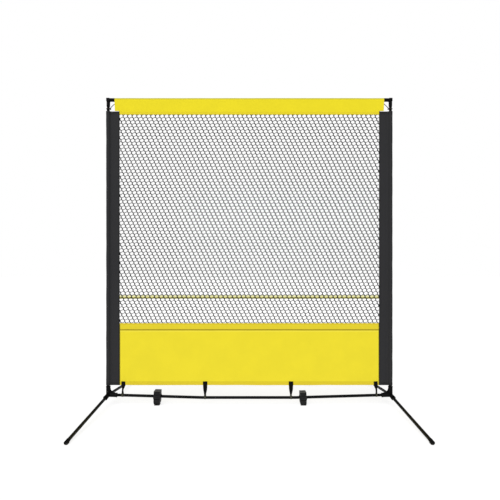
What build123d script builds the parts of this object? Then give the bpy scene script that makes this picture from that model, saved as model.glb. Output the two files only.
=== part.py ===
"""A free-standing ball rebounder: a tubular goal frame on two moulded base hubs, with a sleeved net.

X runs to the right along the bars, Y to the back and Z up. The origin is on the ground, midway
between the two uprights and midway between the front and rear legs. All lengths are millimetres.
"""

from build123d import *
from math import atan2, copysign, degrees, sqrt
import os

# Frame
UPRIGHT_SPACING = 2200.0  # between the axes of the two uprights
FRAME_HEIGHT = 2389.0  # from the ground to the top of the corner elbows
HUB_HEIGHT = 77.0  # from the ground to the centre of a base hub
BAR_SAG = 21.5  # how far the middle length of the bottom bar hangs below the hubs
LEG_REACH = 764.0  # along a leg, from the hub's centre to the end of its cap
LEG_TIP_HEIGHT = 13.0  # from the ground to the leg's axis at the end of its cap

# Steel tube, the same for every run
TUBE_OD = 22.0
TUBE_WALL = 1.0
SPIGOT_WALL = 1.0
SPIGOT_LENGTH = 45.0
NECK_WALL = 2.0  # of the thickened ring inside a tube's end, which its spigot grows from
NECK_LENGTH = 6.0
SPIGOT_ROOT = 2.0  # from the mouth of the next tube back to the spigot's root in the neck
BAR_JOINT_GAP = 0.8  # between two lengths of the bottom bar, which meet at a slight angle
TUBE_FIT = 0.1  # radial clearance of a spigot in a tube, and of a tube in a socket
TUBE_SEAT = 15.0  # from the centre of a hub or elbow to the end of the tube in it

# Base hubs
HUB_SOCKET_WALL = 5.4  # of the upright's and the bottom bar's sockets
LEG_SOCKET_WALL = 5.4
HUB_SOCKET_REACH = 68.0  # from the hub's centre to the mouth of each socket
MOUTH_RIM = 1.2  # how far the rim at a socket's mouth stands proud
MOUTH_RIM_WIDTH = 7.0
HUB_CORE_PROUD = 1.0  # how far the ball at the centre stands out of the leg sockets
INNER_WEB_RADIUS = 38.0  # the hollow curve of the web between upright and bar
INNER_WEB_WIDTH = 10.0
LEG_WEB_RADIUS = 22.0
LEG_WEB_WIDTH = 8.0

# Corner elbows
ELBOW_WALL = 2.25
ELBOW_REACH = 50.0
ELBOW_CORNER_FILLET = 3.0

# Leg end caps
CAP_WALL = 1.0
CAP_LENGTH = 38.0
CAP_FLOOR = 4.0
CAP_RIM = 0.4
CAP_RIM_WIDTH = 4.0
CAP_PAD_WIDTH = 16.0
CAP_PAD_LENGTH = 32.0
CAP_PAD_INSET = 2.0  # from the end of the cap to the end of its flat

# Snap buttons and their spring clips
BUTTON_DIAMETER = 8.0
BUTTON_FIT = 0.08
BUTTON_PROUD = 2.5
BUTTON_DOME = 1.8
HUB_BUTTON_INSET = 23.0  # from the mouth of a hub's socket to its button
ELBOW_BUTTON_INSET = 17.0
CLIP_WIDTH = 6.0
CLIP_THICKNESS = 0.8
CLIP_LENGTH = 26.0
CLIP_OVERHANG = 5.5  # how far the clip's arm runs past its button
CLIP_CLEARANCE = 0.5

# Bar feet: a saddle block under the bottom bar, a cap over it, two bolts and a rubber pad
BAR_FOOT_X = {"left": -716.0, "right": 418.0}
FOOT_FIT = 0.1  # radial clearance on the bottom bar
FOOT_SADDLE_WIDTH = 58.0
FOOT_BODY_WIDTH = 49.0
FOOT_BASE_WIDTH = 43.0
FOOT_SADDLE_COVER = 9.0  # under the tube, where the saddle has narrowed to the body
FOOT_TAPER_HEIGHT = 14.0  # above the block's underside, where the body starts to narrow
FOOT_CORNER_FILLET = 4.0
SPLIT_GAP = 1.0
FOOT_CAP_COVER = 3.0  # over the tube, where the cap's saddle ends
FOOT_CAP_GROOVE = 3.0
FOOT_CAP_GROOVE_DEPTH = 2.5
FOOT_CAP_BLOCK = 28.0  # the height of the cap's block above its groove
FOOT_RECESS_MARGIN = 8.0  # the rim at each side of the recess
FOOT_RECESS_LIP = 4.5  # the rim above and below the recess
FOOT_RECESS_DEPTH = 3.0
PAD_THICKNESS = 6.0  # under the foot that hangs lowest
PAD_SIDE_INSET = 1.0
PAD_END_INSET = 12.0  # from the faces of the foot, front and back
PAD_STUD_LENGTH = 8.0
BOLT_DIAMETER = 5.0
BOLT_TUBE_GAP = 7.0  # from the side of the tube to each bolt's axis
BOLT_EDGE = 17.0  # from each bolt's axis to the face of the foot
BOLT_HOLE_FIT = 0.15
BOLT_SEAT_COVER = 3.0  # above the groove, the underside of the bolt's head
BOLT_HEAD_DIAMETER = 8.5
BOLT_HEAD_HEIGHT = 5.0
BOLT_KEY_FLATS = 4.0
BOLT_KEY_DEPTH = 2.5
BOLT_THREAD_SHOW = 1.5  # how far the bolt stands out of its nut
HEAD_WELL_FIT = 0.4
NUT_FLATS = 8.0
NUT_HEIGHT = 4.0
NUT_FIT = 0.1
NUT_SEAT_COVER = 17.0  # from under the tube to the top of the nut

# Fabric and net
CLOTH_GAP = 0.3  # between a soft piece and whatever it lies against
CLOTH_PLY = 1.2
PANEL_THICKNESS = 2.4
SLEEVE_REACH = 88.0  # from an upright's axis to the inner edge of its sleeve
SLEEVE_SLACK = 3.8  # from the upright to the inside of the sleeve's pocket
SLEEVE_HUB_GAP = 7.5  # above the mouth of the hub's upright socket
SLEEVE_TOP_DROP = 103.0  # from the top of the frame
TOP_BAND_ELBOW_GAP = 2.0  # from the mouth of the elbow to the end of the band
TOP_BAND_DROP = 127.5  # from the top of the frame to the top band's lower edge
TOP_BAND_NOTCH_GAP = 5.0  # above the side sleeves
LOWER_BAND_HEIGHT = 483.0
NET_THICKNESS = 2.4
TARGET_LINE_HEIGHT = 840.0
TARGET_LINE_WIDTH = 28.0
TARGET_LINE_THICKNESS = 0.8

# Hem straps and corner ties
MIDDLE_STRAP_X = (-346.0, 326.0)
CORNER_STRAP_INSET = (116.0, 113.0)  # from the left and the right upright's axis
STRAP_TOP_WIDTH = {"middle": 31.0, "corner": 26.0}
STRAP_NECK_WIDTH = {"middle": 14.0, "corner": 9.0}
STRAP_NECK_RISE = {"middle": 40.0, "corner": 57.0}  # above the bar's axis, where the strap is narrow
STRAP_LAP = 29.0  # how far a strap is sewn up the front of the lower band
STRAP_THICKNESS = 2.2
TIE_DIAMETER = 4.5
TIE_LOOP_DROP = 23.0  # below the elbow's mouth, the tie's loop round the upright
TIE_BAND_DROP = 22.0  # below the top bar, where the tie meets the end of the top band

# Worked out from the sizes above
SIDES = {"left": -1, "right": 1}
ENDS = {"front": -1, "rear": 1}
TUBE_RADIUS = TUBE_OD / 2
TUBE_BORE = TUBE_RADIUS - TUBE_WALL
SOCKET_BORE = TUBE_RADIUS + TUBE_FIT
HUB_SOCKET_RADIUS = SOCKET_BORE + HUB_SOCKET_WALL
LEG_SOCKET_RADIUS = SOCKET_BORE + LEG_SOCKET_WALL
ELBOW_RADIUS = SOCKET_BORE + ELBOW_WALL
CAP_RADIUS = SOCKET_BORE + CAP_WALL
HUB_BUTTON_REACH = HUB_SOCKET_REACH - HUB_BUTTON_INSET
ELBOW_BUTTON_REACH = ELBOW_REACH - ELBOW_BUTTON_INSET
UPRIGHT_X = UPRIGHT_SPACING / 2
TOP_BAR_HEIGHT = FRAME_HEIGHT - ELBOW_RADIUS
BAR_JOINT_X = (UPRIGHT_X - TUBE_SEAT) / 3
BAR_OUTER_SPAN = UPRIGHT_X - BAR_JOINT_X
BAR_OUTER_LENGTH = sqrt(BAR_OUTER_SPAN**2 + BAR_SAG**2)
LEG_DROP = HUB_HEIGHT - LEG_TIP_HEIGHT
LEG_PLAN_REACH = sqrt(LEG_REACH**2 - LEG_DROP**2)
CLIP_TOP = sqrt(TUBE_BORE**2 - (CLIP_WIDTH / 2) ** 2) - CLIP_CLEARANCE
BOLT_OFFSET = TUBE_RADIUS + BOLT_TUBE_GAP
FOOT_DEPTH = 2 * (BOLT_OFFSET + BOLT_EDGE)
FOOT_SADDLE_DROP = TUBE_RADIUS + FOOT_SADDLE_COVER
FOOT_CAP_SHOULDER = TUBE_RADIUS + FOOT_CAP_COVER
FOOT_CAP_GROOVE_TOP = FOOT_CAP_SHOULDER + FOOT_CAP_GROOVE
FOOT_CAP_RISE = FOOT_CAP_GROOVE_TOP + FOOT_CAP_BLOCK
BOLT_SEAT_RISE = FOOT_CAP_GROOVE_TOP + BOLT_SEAT_COVER
NUT_SEAT_DROP = TUBE_RADIUS + NUT_SEAT_COVER
SLEEVE_POCKET_RADIUS = TUBE_RADIUS + SLEEVE_SLACK
SLEEVE_INNER_X = UPRIGHT_X - SLEEVE_REACH
SLEEVE_BOTTOM = HUB_HEIGHT + HUB_SOCKET_REACH + SLEEVE_HUB_GAP
SLEEVE_TOP = FRAME_HEIGHT - SLEEVE_TOP_DROP
TOP_BAND_END_X = UPRIGHT_X - ELBOW_REACH - TOP_BAND_ELBOW_GAP
LOWER_BAND_TOP = SLEEVE_BOTTOM + LOWER_BAND_HEIGHT
CORNER_STRAP_X = (CORNER_STRAP_INSET[0] - UPRIGHT_X, UPRIGHT_X - CORNER_STRAP_INSET[1])
STRAP_X = {"middle": MIDDLE_STRAP_X, "corner": CORNER_STRAP_X}


class StraightRun:
    """A straight centreline; s is the distance along it from its start."""

    def __init__(self, start, direction):
        self.start = Vector(*start)
        self.direction = Vector(*direction).normalized()

    def point(self, s):
        return self.start + self.direction * s

    def tangent(self, s):
        return self.direction

    def rod(self, s0, s1, radius):
        """A solid cylinder on the centreline from s0 to s1."""
        section = Plane(origin=self.point(s0), z_dir=self.direction) * Circle(radius)
        return extrude(section, s1 - s0, dir=self.direction)


def hub_centre(side):
    return (SIDES[side] * UPRIGHT_X, 0, HUB_HEIGHT)


def elbow_centre(side):
    return (SIDES[side] * UPRIGHT_X, 0, TOP_BAR_HEIGHT)


def upright_run(side):
    return StraightRun(hub_centre(side), (0, 0, 1))


def leg_run(side, end):
    return StraightRun(hub_centre(side), (0, ENDS[end] * LEG_PLAN_REACH, -LEG_DROP))


def bar_run(side):
    """The outer length of the bottom bar, from its hub down to the middle length."""
    return StraightRun(hub_centre(side), (-SIDES[side] * BAR_OUTER_SPAN, 0, -BAR_SAG))


def bar_height(x):
    """The height of the bottom bar's axis at x."""
    up_the_slope = max(abs(x) - BAR_JOINT_X, 0) / BAR_OUTER_SPAN
    return HUB_HEIGHT - BAR_SAG * (1 - up_the_slope)


def bar_tilt(x):
    """How far the bottom bar slopes up to the right at x, in degrees."""
    if abs(x) < BAR_JOINT_X:
        return 0.0
    return copysign(degrees(atan2(BAR_SAG, BAR_OUTER_SPAN)), x)


FOOT_BLOCK_DROP = min(bar_height(x) for x in BAR_FOOT_X.values()) - PAD_THICKNESS


def radial_plane(run, s, outward):
    """The frame of a snap button: X along the tube, Z out through its wall, on the tube's axis."""
    return Plane(origin=run.point(s), x_dir=run.tangent(s), z_dir=outward)


def ring(run, s0, s1, outer, inner):
    return run.rod(s0, s1, outer) - run.rod(s0, s1, inner)


def button_hole(run, s, outward, depth):
    """A hole from the tube's axis out through one wall, for a snap button."""
    plane = radial_plane(run, s, outward)
    return plane * Cylinder(
        BUTTON_DIAMETER / 2 + BUTTON_FIT, depth, align=(Align.CENTER, Align.CENTER, Align.MIN)
    )


def thirds(run, s0, s1, names):
    """Names with the equal lengths that they take along one run."""
    step = (s1 - s0) / len(names)
    return {name: (run, s0 + i * step, s0 + (i + 1) * step) for i, name in enumerate(names)}


def tube_lengths(stretches):
    """A tube on each stretch; all but the last end in a swaged spigot that lies along the next."""
    spigot_radius = TUBE_BORE - TUBE_FIT
    tubes = {name: ring(*stretch, TUBE_RADIUS, TUBE_BORE) for name, stretch in stretches.items()}
    in_order = list(stretches.items())
    for (name, (run, _, s1)), (_, (next_run, next_s0, _)) in zip(in_order, in_order[1:]):
        root, tip = next_s0 - SPIGOT_ROOT, next_s0 + SPIGOT_LENGTH
        tubes[name] += ring(run, s1 - NECK_LENGTH, s1, TUBE_BORE, TUBE_BORE - NECK_WALL)
        tubes[name] += ring(next_run, root, tip, spigot_radius, spigot_radius - SPIGOT_WALL)
    return tubes


def snap_button(run, s, outward, socket_radius):
    """A button and the moving arm of its spring clip, which holds it out through the socket."""
    top = socket_radius + BUTTON_PROUD
    base = (Align.CENTER, Align.CENTER, Align.MIN)
    pin = Pos(0, 0, CLIP_TOP - CLIP_THICKNESS) * Cylinder(
        BUTTON_DIAMETER / 2, top - CLIP_TOP + CLIP_THICKNESS, align=base
    )
    pin = fillet(pin.edges().group_by(Axis.Z)[-1], BUTTON_DOME)
    arm = Pos(CLIP_LENGTH / 2 - CLIP_OVERHANG, 0, CLIP_TOP - CLIP_THICKNESS) * Box(
        CLIP_LENGTH, CLIP_WIDTH, CLIP_THICKNESS, align=base
    )
    return radial_plane(run, s, outward) * (pin + arm)


def spring_clip(run, s, outward):
    """The fixed arm and the bend of a button's spring clip, against the far wall of the tube."""
    end = CLIP_LENGTH - CLIP_OVERHANG + CLIP_CLEARANCE
    arm = Pos(-CLIP_OVERHANG, 0, -CLIP_TOP) * Box(
        CLIP_OVERHANG + end, CLIP_WIDTH, CLIP_THICKNESS, align=(Align.MIN, Align.CENTER, Align.MIN)
    )
    loop = Circle(CLIP_TOP) - Circle(CLIP_TOP - CLIP_THICKNESS)
    half = loop & Pos(CLIP_TOP / 2, 0) * Rectangle(CLIP_TOP, 2 * CLIP_TOP)
    bend = Plane.XZ * Pos(end, 0) * half
    bend = extrude(bend, CLIP_WIDTH / 2, both=True)
    return radial_plane(run, s, outward) * (arm + bend)


def web(radius, tangent_at, width):
    """A gusset in the corner of X and Z with a hollow curve that meets both arms tangentially."""
    size = tangent_at + radius
    face = Pos(size / 2, size / 2) * Rectangle(size, size) - Pos(size, size) * Circle(radius)
    return extrude(Plane.XZ * face, width / 2, both=True)


def hub_sockets(side):
    """The four sockets of a base hub: name, run, outer radius, direction of its snap button."""
    outer_side = Vector(SIDES[side], 0, 0)
    back = Vector(0, 1, 0)
    return [
        ("upright", upright_run(side), HUB_SOCKET_RADIUS, back),
        ("bar", bar_run(side), HUB_SOCKET_RADIUS, back),
        ("front_leg", leg_run(side, "front"), LEG_SOCKET_RADIUS, outer_side),
        ("rear_leg", leg_run(side, "rear"), LEG_SOCKET_RADIUS, outer_side),
    ]


def elbow_sockets(side):
    """The two sockets of a corner elbow, as for a hub."""
    inward = (-SIDES[side], 0, 0)
    back = Vector(0, 1, 0)
    return [
        ("upright", StraightRun(elbow_centre(side), (0, 0, -1)), ELBOW_RADIUS, back),
        ("top_bar", StraightRun(elbow_centre(side), inward), ELBOW_RADIUS, back),
    ]


def base_hub(side):
    """A moulded hub: four sockets on a ball, webs between them, bored for the tubes and buttons."""
    centre = Vector(*hub_centre(side))
    hub = Pos(*centre) * Sphere(LEG_SOCKET_RADIUS + HUB_CORE_PROUD)
    for _, run, radius, _ in hub_sockets(side):
        hub += run.rod(0, HUB_SOCKET_REACH, radius)
        hub += run.rod(HUB_SOCKET_REACH - MOUTH_RIM_WIDTH, HUB_SOCKET_REACH, radius + MOUTH_RIM)
    inward = 180 if side == "right" else 0
    inner_web = web(INNER_WEB_RADIUS, HUB_SOCKET_RADIUS, INNER_WEB_WIDTH)
    hub += Pos(*centre) * Rot(0, 0, inward) * inner_web
    for turn in (-90, 90):
        hub += Pos(*centre) * Rot(0, 0, turn) * web(LEG_WEB_RADIUS, LEG_SOCKET_RADIUS, LEG_WEB_WIDTH)
    for _, run, radius, outward in hub_sockets(side):
        hub -= run.rod(TUBE_SEAT, HUB_SOCKET_REACH + MOUTH_RIM_WIDTH, SOCKET_BORE)
        hub -= button_hole(run, HUB_BUTTON_REACH, outward, 2 * radius)
    return hub


def corner_elbow(side):
    """A square-cornered elbow that joins the top of an upright to the end of the top bar."""
    width = 2 * ELBOW_RADIUS
    block = fillet(Box(width, width, width).edges(), ELBOW_CORNER_FILLET)
    elbow = Pos(*elbow_centre(side)) * block
    for _, run, radius, _ in elbow_sockets(side):
        elbow += run.rod(0, ELBOW_REACH, radius)
    for _, run, radius, outward in elbow_sockets(side):
        elbow -= run.rod(TUBE_SEAT, ELBOW_REACH + TUBE_SEAT, SOCKET_BORE)
        elbow -= button_hole(run, ELBOW_BUTTON_REACH, outward, 2 * radius)
    return elbow


def leg(side, end):
    run = leg_run(side, end)
    return ring(run, TUBE_SEAT, LEG_REACH - CAP_FLOOR, TUBE_RADIUS, TUBE_BORE)


def leg_cap(side, end):
    """A blind cap on the end of a leg, with a flat pad that stands on the ground."""
    run = leg_run(side, end)
    mouth = LEG_REACH - CAP_LENGTH
    cap = run.rod(mouth, LEG_REACH, CAP_RADIUS)
    cap += run.rod(mouth, mouth + CAP_RIM_WIDTH, CAP_RADIUS + CAP_RIM)
    tip = run.point(LEG_REACH)
    pad_middle = tip.Y - ENDS[end] * (CAP_PAD_INSET + CAP_PAD_LENGTH / 2)
    cap += Pos(tip.X, pad_middle, 0) * Box(
        CAP_PAD_WIDTH, CAP_PAD_LENGTH, tip.Z, align=(Align.CENTER, Align.CENTER, Align.MIN)
    )
    return cap - run.rod(mouth - CAP_LENGTH, LEG_REACH - CAP_FLOOR, SOCKET_BORE)


def foot_place(side):
    """The frame of a bar foot: on the bottom bar's axis, X along the bar."""
    x = BAR_FOOT_X[side]
    return Pos(x, 0, bar_height(x)) * Rot(0, -bar_tilt(x), 0)


def foot_prism(half_outline):
    """A block extruded through the foot's depth from half of its outline, its side edges rounded."""
    left = [(-x, z) for x, z in reversed(half_outline)]
    outline = make_face(Polyline(*half_outline, *left, close=True))
    block = extrude(Plane.XZ * outline, FOOT_DEPTH / 2, both=True)
    end_edges = block.edges().filter_by_position(Axis.Y, -FOOT_DEPTH, FOOT_DEPTH).filter_by(Plane.XZ)
    side_edges = [e for e in end_edges if abs(e.tangent_at(0.5).X) < abs(e.tangent_at(0.5).Z)]
    return fillet(side_edges, FOOT_CORNER_FILLET)


def at_bolts(piece):
    """The two copies of a piece, in front of the bar and behind it."""
    return [Pos(0, y, 0) * piece for y in (-BOLT_OFFSET, BOLT_OFFSET)]


def bar_bore():
    return Rot(0, 90, 0) * Cylinder(TUBE_RADIUS + FOOT_FIT, 2 * FOOT_SADDLE_WIDTH)


def foot_block():
    """The lower half: a saddle under the bar that narrows to a body and a base."""
    block = foot_prism(
        [
            (FOOT_SADDLE_WIDTH / 2, -SPLIT_GAP / 2),
            (FOOT_BODY_WIDTH / 2, -FOOT_SADDLE_DROP),
            (FOOT_BODY_WIDTH / 2, FOOT_TAPER_HEIGHT - FOOT_BLOCK_DROP),
            (FOOT_BASE_WIDTH / 2, -FOOT_BLOCK_DROP),
        ]
    )
    hole = Pos(0, 0, -FOOT_BLOCK_DROP) * Cylinder(
        BOLT_DIAMETER / 2 + BOLT_HOLE_FIT,
        FOOT_BLOCK_DROP,
        align=(Align.CENTER, Align.CENTER, Align.MIN),
    )
    hexagon = RegularPolygon(NUT_FLATS / 2 + NUT_FIT, 6, major_radius=False)
    well = extrude(Pos(0, 0, -FOOT_BLOCK_DROP) * hexagon, FOOT_BLOCK_DROP - NUT_SEAT_DROP)
    return block - bar_bore() - at_bolts(hole) - at_bolts(well)


def foot_cap():
    """The upper half: a saddle over the bar, a groove, and a block with a recess front and back."""
    groove_x = FOOT_BODY_WIDTH / 2 - FOOT_CAP_GROOVE_DEPTH
    cap = foot_prism([(FOOT_SADDLE_WIDTH / 2, SPLIT_GAP / 2), (FOOT_BODY_WIDTH / 2, FOOT_CAP_SHOULDER)])
    cap += foot_prism([(FOOT_BODY_WIDTH / 2, FOOT_CAP_GROOVE_TOP), (FOOT_BODY_WIDTH / 2, FOOT_CAP_RISE)])
    cap += Pos(0, 0, FOOT_CAP_SHOULDER) * Box(
        2 * groove_x,
        FOOT_DEPTH - 2 * FOOT_CAP_GROOVE_DEPTH,
        FOOT_CAP_GROOVE,
        align=(Align.CENTER, Align.CENTER, Align.MIN),
    )
    recess_middle = (FOOT_CAP_GROOVE_TOP + FOOT_CAP_RISE) / 2
    recess = Box(
        FOOT_BODY_WIDTH - 2 * FOOT_RECESS_MARGIN,
        2 * FOOT_RECESS_DEPTH,
        FOOT_CAP_BLOCK - 2 * FOOT_RECESS_LIP,
    )
    base = (Align.CENTER, Align.CENTER, Align.MIN)
    hole = Cylinder(BOLT_DIAMETER / 2 + BOLT_HOLE_FIT, FOOT_CAP_RISE, align=base)
    well = Pos(0, 0, BOLT_SEAT_RISE) * Cylinder(
        BOLT_HEAD_DIAMETER / 2 + HEAD_WELL_FIT, FOOT_CAP_RISE, align=base
    )
    cap -= [Pos(0, y, recess_middle) * recess for y in (-FOOT_DEPTH / 2, FOOT_DEPTH / 2)]
    return cap - bar_bore() - at_bolts(hole) - at_bolts(well)


def foot_bolt():
    """A socket-head bolt, its head on the cap's seat."""
    base = (Align.CENTER, Align.CENTER, Align.MIN)
    tip = -NUT_SEAT_DROP - NUT_HEIGHT - BOLT_THREAD_SHOW
    shank = Pos(0, 0, tip) * Cylinder(BOLT_DIAMETER / 2, BOLT_SEAT_RISE - tip, align=base)
    head = Pos(0, 0, BOLT_SEAT_RISE) * Cylinder(BOLT_HEAD_DIAMETER / 2, BOLT_HEAD_HEIGHT, align=base)
    key = RegularPolygon(BOLT_KEY_FLATS / 2, 6, major_radius=False)
    key_top = BOLT_SEAT_RISE + BOLT_HEAD_HEIGHT
    return shank + head - extrude(Pos(0, 0, key_top - BOLT_KEY_DEPTH) * key, BOLT_KEY_DEPTH)


def foot_nut():
    """A hexagon nut at the top of its well."""
    hexagon = RegularPolygon(NUT_FLATS / 2, 6, major_radius=False)
    bore = Circle(BOLT_DIAMETER / 2 + BOLT_HOLE_FIT / 2)
    return extrude(Pos(0, 0, -NUT_SEAT_DROP - NUT_HEIGHT) * (hexagon - bore), NUT_HEIGHT)


def foot_pad(side):
    """A rubber pad that fills the space from the block to the ground, studded into the nut wells."""
    width = FOOT_BASE_WIDTH - 2 * PAD_SIDE_INSET
    depth = FOOT_DEPTH - 2 * PAD_END_INSET
    pad = Pos(0, 0, -FOOT_BLOCK_DROP) * Box(
        width, depth, 2 * HUB_HEIGHT, align=(Align.CENTER, Align.CENTER, Align.MAX)
    )
    pad = fillet(pad.edges().filter_by(Axis.Z), FOOT_CORNER_FILLET - PAD_SIDE_INSET)
    stud = Pos(0, 0, -FOOT_BLOCK_DROP) * Cylinder(
        NUT_FLATS / 2, PAD_STUD_LENGTH, align=(Align.CENTER, Align.CENTER, Align.MIN)
    )
    for one in at_bolts(stud):
        pad += one
    above_ground = Pos(BAR_FOOT_X[side], 0, 0) * Box(
        2 * FOOT_SADDLE_WIDTH,
        2 * FOOT_DEPTH,
        2 * HUB_HEIGHT,
        align=(Align.CENTER, Align.CENTER, Align.MIN),
    )
    return foot_place(side) * pad & above_ground


def side_sleeve(side):
    """A fabric sleeve: a pocket round the upright and a doubled web in to the net."""
    web_face = Pos(-SIDES[side] * SLEEVE_REACH / 2, 0) * Rectangle(SLEEVE_REACH, PANEL_THICKNESS)
    section = Circle(SLEEVE_POCKET_RADIUS + CLOTH_PLY) + web_face - Circle(SLEEVE_POCKET_RADIUS)
    return extrude(Pos(SIDES[side] * UPRIGHT_X, 0, SLEEVE_BOTTOM) * section, SLEEVE_TOP - SLEEVE_BOTTOM)


def plate(half_width, bottom, top, thickness, y=0.0):
    """A flat upright sheet centred on mid-span."""
    return Pos(0, y, (bottom + top) / 2) * Box(2 * half_width, thickness, top - bottom)


def top_band():
    """A fabric band: a pocket round the top bar and a doubled web down to the net."""
    bore = TUBE_RADIUS + CLOTH_GAP
    bottom = FRAME_HEIGHT - TOP_BAND_DROP
    run = StraightRun((0, 0, TOP_BAR_HEIGHT), (1, 0, 0))
    band = plate(TOP_BAND_END_X, SLEEVE_TOP + TOP_BAND_NOTCH_GAP, TOP_BAR_HEIGHT, PANEL_THICKNESS)
    band += plate(SLEEVE_INNER_X - CLOTH_GAP, bottom, TOP_BAR_HEIGHT, PANEL_THICKNESS)
    band += run.rod(-TOP_BAND_END_X, TOP_BAND_END_X, bore + CLOTH_PLY)
    return band - run.rod(-UPRIGHT_X, UPRIGHT_X, bore)


def net_panel():
    """The net, as a flat sheet of the netting's own thickness."""
    top = FRAME_HEIGHT - TOP_BAND_DROP - CLOTH_GAP
    return plate(SLEEVE_INNER_X - CLOTH_GAP, LOWER_BAND_TOP + CLOTH_GAP, top, NET_THICKNESS)


def lower_band():
    return plate(SLEEVE_INNER_X - CLOTH_GAP, SLEEVE_BOTTOM, LOWER_BAND_TOP, PANEL_THICKNESS)


def target_line():
    """A tape across the back of the net at the height to aim over."""
    half = TARGET_LINE_WIDTH / 2
    y = NET_THICKNESS / 2 + CLOTH_GAP + TARGET_LINE_THICKNESS / 2
    bottom = TARGET_LINE_HEIGHT - half
    top = TARGET_LINE_HEIGHT + half
    return plate(SLEEVE_INNER_X - CLOTH_GAP, bottom, top, TARGET_LINE_THICKNESS, y)


def hem_strap(kind, x):
    """A webbing strap: sewn to the lower band's hem, gathered to a neck, and looped round the bar."""
    z = bar_height(x)
    loop_inner = TUBE_RADIUS + CLOTH_GAP
    loop_outer = loop_inner + STRAP_THICKNESS
    neck = STRAP_NECK_WIDTH[kind] / 2
    top = STRAP_TOP_WIDTH[kind] / 2
    outline = [
        (-neck, z + loop_inner),
        (neck, z + loop_inner),
        (neck, z + STRAP_NECK_RISE[kind]),
        (top, SLEEVE_BOTTOM),
        (top, SLEEVE_BOTTOM + STRAP_LAP),
        (-top, SLEEVE_BOTTOM + STRAP_LAP),
        (-top, SLEEVE_BOTTOM),
        (-neck, z + STRAP_NECK_RISE[kind]),
    ]
    front = -PANEL_THICKNESS / 2 - CLOTH_GAP
    flat = extrude(Plane.XZ * make_face(Polyline(*outline, close=True)), STRAP_THICKNESS)
    around = Pos(x, 0, z) * Rot(0, 90 - bar_tilt(x), 0)
    loop = around * (Cylinder(loop_outer, 2 * neck) - Cylinder(loop_inner, 4 * neck))
    return Pos(x, front, 0) * flat + loop


def corner_tie(side):
    """A cord from a loop round the top of the upright to the end of the top band."""
    loop_z = TOP_BAR_HEIGHT - ELBOW_REACH - TIE_LOOP_DROP
    loop_radius = TUBE_RADIUS + CLOTH_GAP + TIE_DIAMETER / 2
    loop = Pos(SIDES[side] * UPRIGHT_X, 0, loop_z) * Torus(loop_radius, TIE_DIAMETER / 2)
    start = Vector(SIDES[side] * (UPRIGHT_X - loop_radius), 0, loop_z)
    end_x = TOP_BAND_END_X + CLOTH_GAP + TIE_DIAMETER / 2
    end = Vector(SIDES[side] * end_x, 0, TOP_BAR_HEIGHT - TUBE_RADIUS - TIE_BAND_DROP)
    run = StraightRun(start, end - start)
    knot = Pos(*end) * Sphere(TIE_DIAMETER / 2)
    return loop + run.rod(0, (end - start).length, TIE_DIAMETER / 2) + knot


def bottom_bar():
    """Three straight lengths: the outer two slope down from the hubs to a level middle."""
    inset = BAR_JOINT_GAP / 2
    height = HUB_HEIGHT - BAR_SAG
    middle = StraightRun((-BAR_JOINT_X, 0, height), (1, 0, 0))
    rising = StraightRun((BAR_JOINT_X, 0, height), (BAR_OUTER_SPAN, 0, BAR_SAG))
    return tube_lengths(
        {
            "bottom_bar_left": (bar_run("left"), TUBE_SEAT, BAR_OUTER_LENGTH - inset),
            "bottom_bar_middle": (middle, inset, 2 * BAR_JOINT_X - inset),
            "bottom_bar_right": (rising, inset, BAR_OUTER_LENGTH - TUBE_SEAT),
        }
    )


def frame_tubes():
    """Every tube of the frame, with its snap-button holes, as node name to solid."""
    upright_top = TOP_BAR_HEIGHT - HUB_HEIGHT - TUBE_SEAT
    tubes = bottom_bar()
    for side in SIDES:
        names = [f"{side}_upright_{part}" for part in ("lower", "middle", "upper")]
        tubes |= tube_lengths(thirds(upright_run(side), TUBE_SEAT, upright_top, names))
        for end in ENDS:
            tubes[f"{side}_{end}_leg"] = leg(side, end)
    top = StraightRun(elbow_centre("left"), (1, 0, 0))
    top_names = [f"top_bar_{part}" for part in ("left", "middle", "right")]
    tubes |= tube_lengths(thirds(top, TUBE_SEAT, UPRIGHT_SPACING - TUBE_SEAT, top_names))
    for side in SIDES:
        in_hub = {
            "upright": f"{side}_upright_lower",
            "bar": f"bottom_bar_{side}",
            "front_leg": f"{side}_front_leg",
            "rear_leg": f"{side}_rear_leg",
        }
        in_elbow = {"upright": f"{side}_upright_upper", "top_bar": f"top_bar_{side}"}
        for name, run, _, outward in hub_sockets(side):
            tubes[in_hub[name]] -= button_hole(run, HUB_BUTTON_REACH, outward, TUBE_OD)
        for name, run, _, outward in elbow_sockets(side):
            tubes[in_elbow[name]] -= button_hole(run, ELBOW_BUTTON_REACH, outward, TUBE_OD)
    return tubes


def buttons_and_clips():
    """Each snap button in its own node, and the fixed halves of their clips in two groups."""
    nodes = {}
    clips = {"hub_button_clips": [], "elbow_button_clips": []}
    for side in SIDES:
        for name, run, radius, outward in hub_sockets(side):
            nodes[f"{side}_hub_{name}_button"] = snap_button(run, HUB_BUTTON_REACH, outward, radius)
            clips["hub_button_clips"].append(spring_clip(run, HUB_BUTTON_REACH, outward))
        for name, run, radius, outward in elbow_sockets(side):
            nodes[f"{side}_elbow_{name}_button"] = snap_button(run, ELBOW_BUTTON_REACH, outward, radius)
            clips["elbow_button_clips"].append(spring_clip(run, ELBOW_BUTTON_REACH, outward))
    return nodes | {name: Compound(solids) for name, solids in clips.items()}


def bar_feet():
    nodes = {}
    for side in SIDES:
        place = foot_place(side)
        nodes[f"{side}_bar_foot_block"] = place * foot_block()
        nodes[f"{side}_bar_foot_cap"] = place * foot_cap()
        nodes[f"{side}_bar_foot_bolts"] = Compound([place * b for b in at_bolts(foot_bolt())])
        nodes[f"{side}_bar_foot_nuts"] = Compound([place * n for n in at_bolts(foot_nut())])
        nodes[f"{side}_bar_foot_pad"] = foot_pad(side)
    return nodes


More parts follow.
